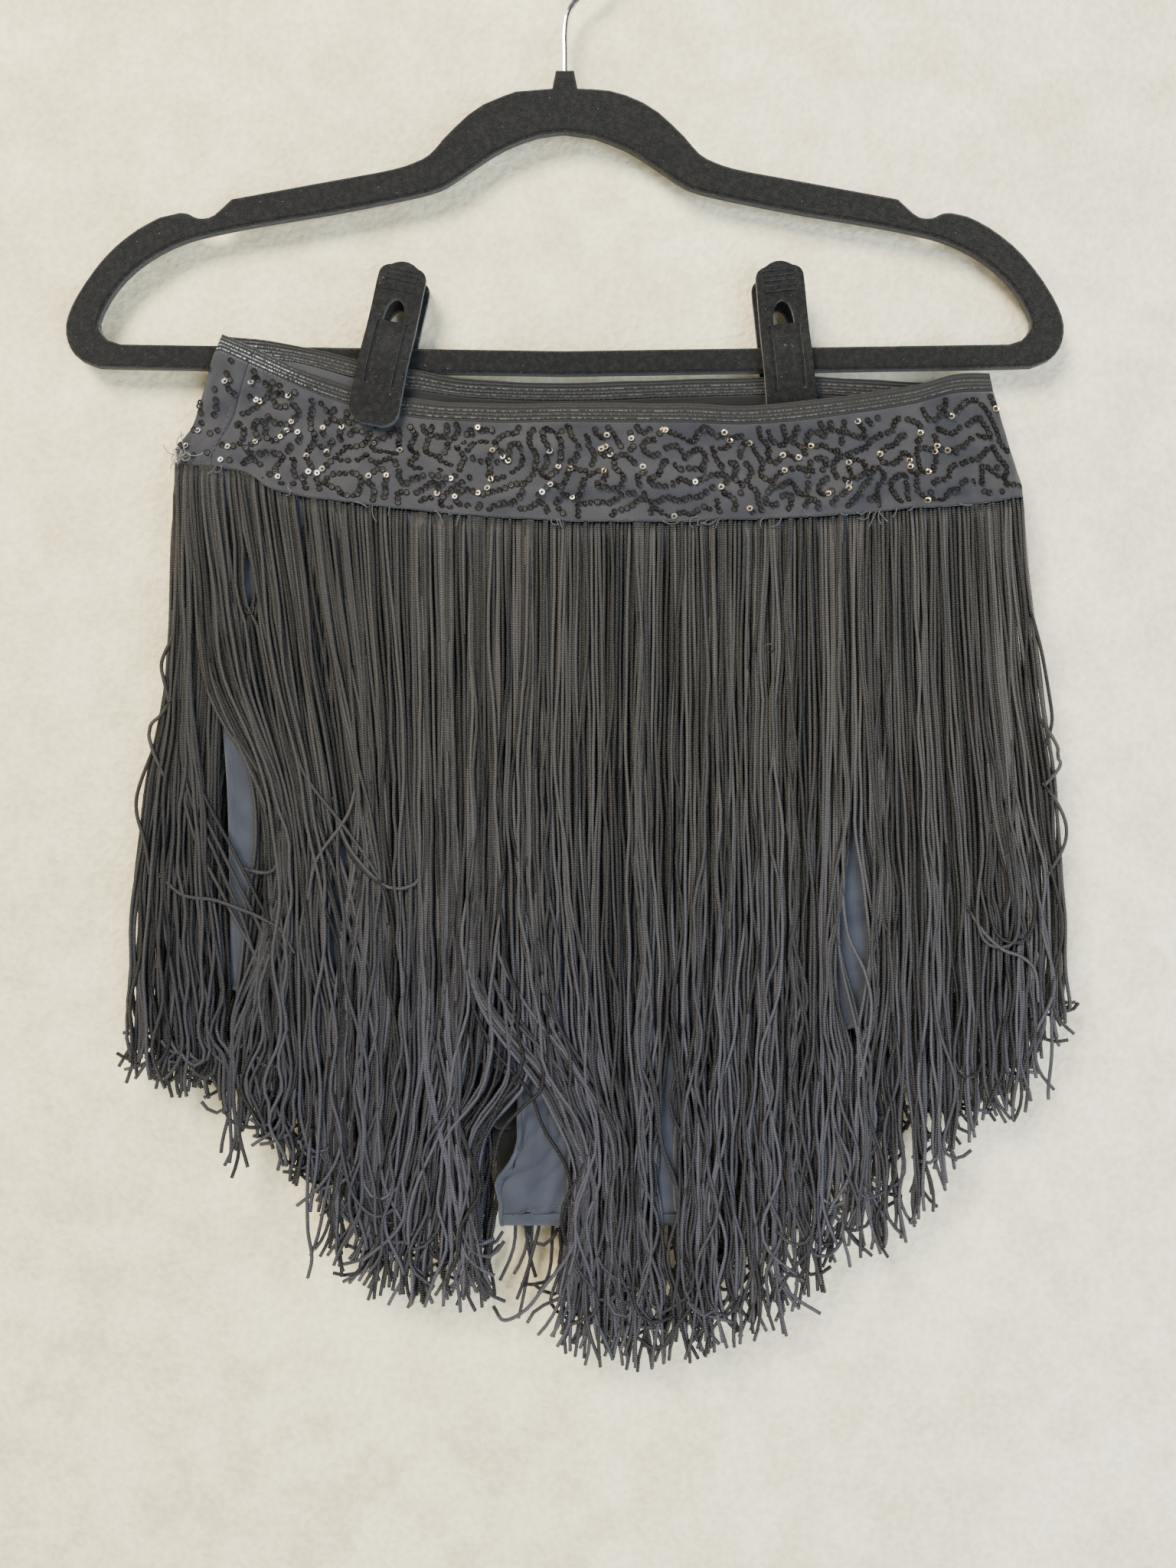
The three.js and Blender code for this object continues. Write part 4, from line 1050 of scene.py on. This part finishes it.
# Painted light: the cords are painted warm brown above and cool blue below, with brighter highs there,
# standing for the warm light on the upper fringe and the cool light on the lower.
lower = eased_share(plus(axis(place, 2), times(grain(place, 12, 3), 0.12)), -0.30, -0.50)
warm_lit_above = paint(chance, (0.0085, 0.008, 0.008), (0.078, 0.0715, 0.0705))
cool_lit_below = paint(chance, (0.003, 0.003, 0.004), (0.085, 0.082, 0.108))
# Painted shade: towards the left the cords are painted up to a third of the way to the near-black shade
# colour.
shaded = eased_share(axis(place, 0), -0.05, -0.15, 0, 0.33)
body = paint(shaded, paint(lower, warm_lit_above, cool_lit_below), CORD_SHADE)
# Painted shade: the cords are painted near-black in the valleys between their knitted loops, down their
# sides where neighbouring cords shade them, and for the first few millimetres under the yoke's edge, where
# its seam shades them.
painted_shade = number("MAXIMUM", eased_share(loops, -1, 0.6, 0.45, 0), eased_share(beside, 0.4, 0.0, 0.0, 0.95))
painted_shade = number("MAXIMUM", painted_shade, eased_share(along, 0.0025, 0.0075, 0.93, 0))
feed(principled, Base_Color=paint(painted_shade, body, CORD_SHADE), Roughness=eased_share(chance, 0, 1, 0.34, 0.46),
     Normal=bump(loops, 0.0003, 0.9))

SEAM_BEGIN, SEAM_AT, SEAM_END = -171, -154.4, 202  # the roots' left fold, left side seam and right fold
STRAYS, FOLD_STRAYS = 64, 22
THINNED = (-31, 7)  # under the gusset, where half of the back's cords are drawn aside
DRAWN_ASIDE, ASIDE_FROM, ASIDE_OVER = 24, -440, 130  # how far, from what height down and over what height
CROSSINGS = [  # roots from and to, how many, between which heights they cross their neighbours, how far
    (-169.5, -163, 4, -392, -474, 27),
    (-160, -150, 9, -428, -505, -18),
    (-141, -126, 8, -398, -478, 14),
    (-114, -100, 8, -405, -495, -13),
    (-42, -28, 14, -478, -562, 63),
    (-19, -12, 4, -490, -535, 17),
    (114, 119, 2, -455, -525, 13),
    (134, 140, 2, -435, -505, -10),
    (176, 190, 6, -390, -470, 9),
    (34, 38, 2, -520, -580, 9),
    (60, 84, 6, -440, -560, -12),
    (-64, -47, 14, -500, -600, 27),
]
front_outer = sewn_in(SEAM_AT, SEAM_END, 1.2, LEAN_OUTER, "outer", 0.8, 41)
front_inner = sewn_in(SEAM_AT, SEAM_END, 1.2, LEAN_INNER, "inner", 2.7, 43)
draw = np.random.default_rng(45)
roots = np.sort(draw.uniform(-150, 198, STRAYS)) + draw.normal(0, 3, STRAYS)
strays = hang(roots, LEAN_OUTER, "stray", False, -0.5, 46, 2.4)
roots = draw.uniform(-170, -152, FOLD_STRAYS)
fold_strays = hang(roots, LEAN_OUTER, "stray", False, -0.7, 55, 2.4)
crossed = []
for k, (first, last, count, begin, end, shift) in enumerate(CROSSINGS):
    over = hang(np.sort(draw.uniform(first, last, count)), LEAN_OUTER, "", False, -0.9, 70 + k, 1.2)
    begins, shifts = begin + draw.normal(0, 4, (count, 1)), shift * draw.uniform(0.97, 1.08, (count, 1))
    share = np.clip((begins - over[..., 2]) / (begin - end), 0, 1)
    over[..., 0] += shifts * mix(share, smooth(share), 0.6)
    risen = smooth((begins + 40 - over[..., 2]) / 40)
    over[..., 1] = on_face(over[..., 0], over[..., 2], False, 0.9 - 0.9 * risen)
    crossed.append(over)
fold_outer = sewn_in(SEAM_BEGIN, SEAM_AT, 2.8, LEAN_OUTER, "outer", 0.8, 47, 1.7)
fold_inner = sewn_in(SEAM_BEGIN, SEAM_AT, 2.8, LEAN_INNER, "inner", 2.6, 49, 1.2)
behind_cords = {}
for layer, inward, seed in (("back", 0.8, 51), ("far", 2.6, 53)):
    hung = sewn_in(SEAM_BEGIN, SEAM_END, 0.6, LEAN_BACK, layer, inward, seed)
    under_gusset = (hung[:, -4, 0] > THINNED[0]) & (hung[:, -4, 0] < THINNED[1])
    aside = under_gusset & (draw.random(len(hung)) >= 0.5)
    outwards = DRAWN_ASIDE * np.sign(hung[:, -4:-3, 0] - sum(THINNED) / 2)
    hung[..., 0] += aside[:, None] * outwards * smooth((ASIDE_FROM - hung[..., 2]) / ASIDE_OVER)
    hung[aside, :, 1] = on_face(hung[aside, :, 0], hung[aside, :, 2], True, inward)
    behind_cords[layer] = hung


def cords(name, points, nodes=()):
    return finished(name, cord_mesh(name, points), chainette, nodes)


front_cords = [
    cords("fringe_front_outer_cords", front_outer, ["fringe_front"]),
    cords("fringe_front_inner_cords", front_inner, ["fringe_front"]),
    cords("fringe_front_stray_cords", np.concatenate([strays, fold_strays, *crossed])),
]
back_cords = [
    cords("fringe_left_fold_cords", np.concatenate([fold_outer, fold_inner]), ["fringe_back"]),
    cords("fringe_back_outer_cords", behind_cords["back"], ["fringe_back"]),
    cords("fringe_back_inner_cords", behind_cords["far"], ["fringe_back"]),
]

# ---------------------------------------------------------------- loose cords
# Cords that were caught or combed across the others: loops over the face and outside the sides, a
# draped tangle, and a few single ends. They lie on the fringe.
LOOSE_STEPS = 30
LOOSE_ABOVE = 1.5  # how far its middle lies outside the fringe's face
LOOSE_CORDS = [  # points down each cord, x and z
    [(182, -408), (183, -425), (181, -440), (180.5, -455), (184, -463.5), (191, -466), (197, -463),
     (199, -452), (198, -438), (197, -420)],
    [(187, -412), (186, -430), (185.5, -447), (189, -460), (196, -464), (203, -461), (206, -450),
     (205, -435), (204, -418)],
    [(176, -448), (184, -460), (192, -467), (200, -470), (206, -476), (208, -490)],
    [(-101, -400), (-94.8, -419.8), (-81, -436.6), (-73.3, -439.9), (-65.6, -438.2), (-62.6, -434.6)],
    [(-100, -408), (-93.4, -424.5), (-85.7, -433.5), (-78.7, -438.9), (-75, -452), (-74, -470)],
    [(-119, -372), (-113.5, -389.7), (-95.1, -413.8), (-80, -436.9), (-77, -455)],
    [(-90, -392), (-94.4, -408.1), (-107.8, -427.5), (-112, -445)],
    [(-178, -434), (-167, -442.9), (-151.6, -445.3), (-125.5, -456.6), (-118, -468)],
    [(-140, -431), (-136.6, -432), (-131, -433), (-127.2, -432), (-125, -428)],
    [(-172, -318), (-172, -330), (-175.4, -336.8), (-177.2, -341.9), (-175.7, -348.9), (-173, -360)],
    [(-172, -357), (-177.5, -364.6), (-181.6, -368), (-182.9, -372), (-181.8, -376), (-180, -381),
     (-175, -392)],
    [(-181, -380), (-187.5, -397.7), (-187.8, -406.8), (-184, -420), (-182, -434)],
    [(205, -318), (209.6, -335), (212.9, -352), (214.6, -362), (214.2, -369), (211, -378)],
    [(209, -366), (215.5, -375.5), (218.6, -382), (217.6, -387), (211, -395)],
    [(210, -394), (216.5, -403), (220.6, -413), (219.6, -421), (212, -435)],
    [(121, -438), (122, -452), (124, -462), (130.6, -476), (133.6, -490), (132, -508), (129, -522)],
    [(-101, -536), (-97.8, -550.3), (-91.8, -573.4), (-82.4, -582.8), (-73.4, -579.4)],
    [(-110.6, -545), (-111.8, -564.4), (-111.8, -588.8), (-110.2, -601.2), (-112.2, -610.2)],
    [(-9.5, -510), (-10.2, -526.9), (-18.3, -534.9), (-27, -545), (-31, -560)],
    [(-31, -622), (-26.5, -628), (-16.6, -622.9), (-8, -612), (0.5, -601.5), (6, -590)],
]
SNAGS = [(-138, -318), (-166, -317), (89, -336), (60.5, -403), (-89, -435)]
SNAG_STEPS, SNAG_RADIUS, SNAG_TURN = 12, 0.3, 4.6


def run_along(points):
    """How far along the path each of its points lies."""
    return np.concatenate([[0], np.cumsum(np.linalg.norm(np.diff(points, axis=0), axis=1))])


def through(points, steps):
    """A smooth path through these points, evenly stepped."""
    points = np.array(points, float)
    run = run_along(points)
    at = np.linspace(0, run[-1], steps)
    return np.stack([curved(np.column_stack([run, points[:, k]]), 1, at) for k in (0, 1)], axis=-1)


paths = np.stack([through(points, LOOSE_STEPS) for points in LOOSE_CORDS])
lifted = LOOSE_ABOVE * np.sin(np.pi * np.linspace(0, 1, LOOSE_STEPS))[None]
loose_x, loose_z = paths[..., 0], paths[..., 1]
loose = np.stack([loose_x, on_face(loose_x, loose_z, False, -lifted), loose_z], axis=-1)
turn = np.linspace(0, SNAG_TURN, SNAG_STEPS)[None]
draw = np.random.default_rng(61)
begin = draw.uniform(0, 2 * np.pi, (len(SNAGS), 1))
spiral = 1.1 + turn * 0.35
snag_x = np.array(SNAGS)[:, :1] + spiral * np.cos(turn + begin)
snag_z = np.array(SNAGS)[:, 1:] + spiral * np.sin(turn + begin)
snags = np.stack([snag_x, on_face(snag_x, snag_z, False, -0.9 + 0 * turn), snag_z], axis=-1)
front_cords += [
    cords("fringe_loose_cords", loose),
    finished("fringe_snags", cord_mesh("fringe_snags", snags, SNAG_RADIUS, 4), chainette),
]

# ---------------------------------------------------------------- hems, stitches and loose threads
# The leg openings have turned hems and the crotch and the side seam show their stitches. Cut ends of
# sewing thread hang at the yoke's lower edge and fray at the left side seam.
HEM_RADIUS, HEM_STEPS, HEM_RISE = 1.15, 150, 0.4
HEM_WRAP = 0.007  # metres of cloth round the hem
THREAD_RADIUS, THREAD_STEPS = 0.22, 9
LOOSE_THREADS, FRAY_THREADS = 32, 16
SIDE_SEAM = [(-146.5, -227.8), (-149.5, -236), (-153.5, -245), (-156.6, -252)]
GUSSET_SEAM_LINE = [
    (-28.2, -585.4), (-18, -582.4), (-6.4, -579.8), (0.5, -579.8), (22, -580.5), (46, -581.5),
]
FRAY_AT = (-167, -248.6)


def hem(side):
    """One leg opening's edge, from the fold down the front panel, along the gusset and up the back."""
    outs = np.array([row[0] for row in LEG_LINE])
    outs = np.concatenate([np.linspace(a, b, 9)[:-1] for a, b in zip(outs, outs[1:])] + [[LEG_OUT]])
    outs = outs[outs > 27.5][::-1]
    share = 0.5 + side * outs / LEG_OUT / 2
    front, behind = (brief_at(share, np.ones(len(outs)), back) for back in (False, True))
    under = gusset_face(np.full(12, float(side > 0)), np.linspace(0, 1, 12))
    line = np.concatenate([front, under, behind[::-1]])
    run = run_along(line)
    even = np.linspace(0, run[-1], HEM_STEPS)
    return np.stack([np.interp(even, run, line[:, k]) for k in range(3)], axis=-1) + (0, 0, HEM_RISE)


hems = cord_mesh("leg_hems", np.stack([hem(-1), hem(1)]), HEM_RADIUS, 6, "cloth", HEM_WRAP)
hems = finished("leg_hems", hems, brief_cloth)


def dashes(line, length, gap):
    """Stitches along a line on the front face, as short cords."""
    path = through(line, 200)
    run = run_along(path)
    starts = np.arange(0.5, run[-1] - length, length + gap)
    at = starts[:, None] + np.linspace(0, length, 3)[None]
    return np.interp(at, run, path[:, 0]), np.interp(at, run, path[:, 1])


def curling(count, aim, spread, curl):
    """The heading down each of these threads."""
    first = draw.normal(aim, spread, (count, 1))
    return first + np.linspace(0, 1, THREAD_STEPS) * draw.normal(0, curl, (count, 1))


def wander(x, z, heading, length):
    """Threads from these ends along these headings."""
    step = length / THREAD_STEPS
    return x + np.cumsum(np.sin(heading), axis=1) * step, z - np.cumsum(np.cos(heading), axis=1) * step


side_x, side_z = dashes(SIDE_SEAM, 1.5, 1.3)
side_y = middle(side_x, side_z) - (reach(side_x, side_z, False) + 0.5) * 0.93
gusset_x, gusset_z = dashes(GUSSET_SEAM_LINE, 1.7, 1.2)
gusset_y = middle(gusset_x, gusset_z) - brief_reach(gusset_x, gusset_z, False) - 0.15
draw = np.random.default_rng(62)
thread_x = draw.uniform(-160, 198, (LOOSE_THREADS, 1))
thread_z = level(YOKE_LINE, thread_x, False) + 0.8
length = draw.uniform(3, 9, (LOOSE_THREADS, 1))
thread_x, thread_z = wander(thread_x, thread_z, curling(LOOSE_THREADS, 0, 0.9, 2.4), length)
thread_y = middle(thread_x, thread_z) - reach(thread_x, thread_z, False) - 1.1
fray = curling(FRAY_THREADS, -1.2, 0.9, 2.2)
length = draw.uniform(4, 11, (FRAY_THREADS, 1))
fray_x, fray_z = (at + draw.normal(0, 0.9, (FRAY_THREADS, 1)) for at in FRAY_AT)
fray_x, fray_z = wander(fray_x, fray_z, fray, length)
fray_y = middle(fray_x, fray_z) - 6 + draw.normal(0, 0.7, (FRAY_THREADS, 1)) + 0 * fray_x

dark_thread, principled = shader("sewing_thread", Roughness=0.5, Sheen_Weight=0.3)
twist = grain(own_place(principled), 1800)
feed(principled, Base_Color=paint(twist, (0.012, 0.012, 0.014), (0.045, 0.045, 0.052)))
nylon, principled = shader("nylon_thread", Roughness=0.3, Transmission_Weight=0.55, IOR=1.5)
milky = grain(own_place(principled), 900)
feed(principled, Base_Color=paint(milky, (0.12, 0.115, 0.11), (0.32, 0.31, 0.29)))


def threads(name, x, y, z, finish=dark_thread):
    return finished(name, cord_mesh(name, np.stack([x, y, z], axis=-1), THREAD_RADIUS, 4), finish)


side_stitches = threads("side_seam_stitches", side_x, side_y, side_z)
crotch_stitches = threads("gusset_seam_stitches", gusset_x, gusset_y, gusset_z)
cut_threads = threads("yoke_loose_threads", thread_x, thread_y, thread_z)
frayed = threads("side_seam_fray", fray_x, fray_y, fray_z, nylon)
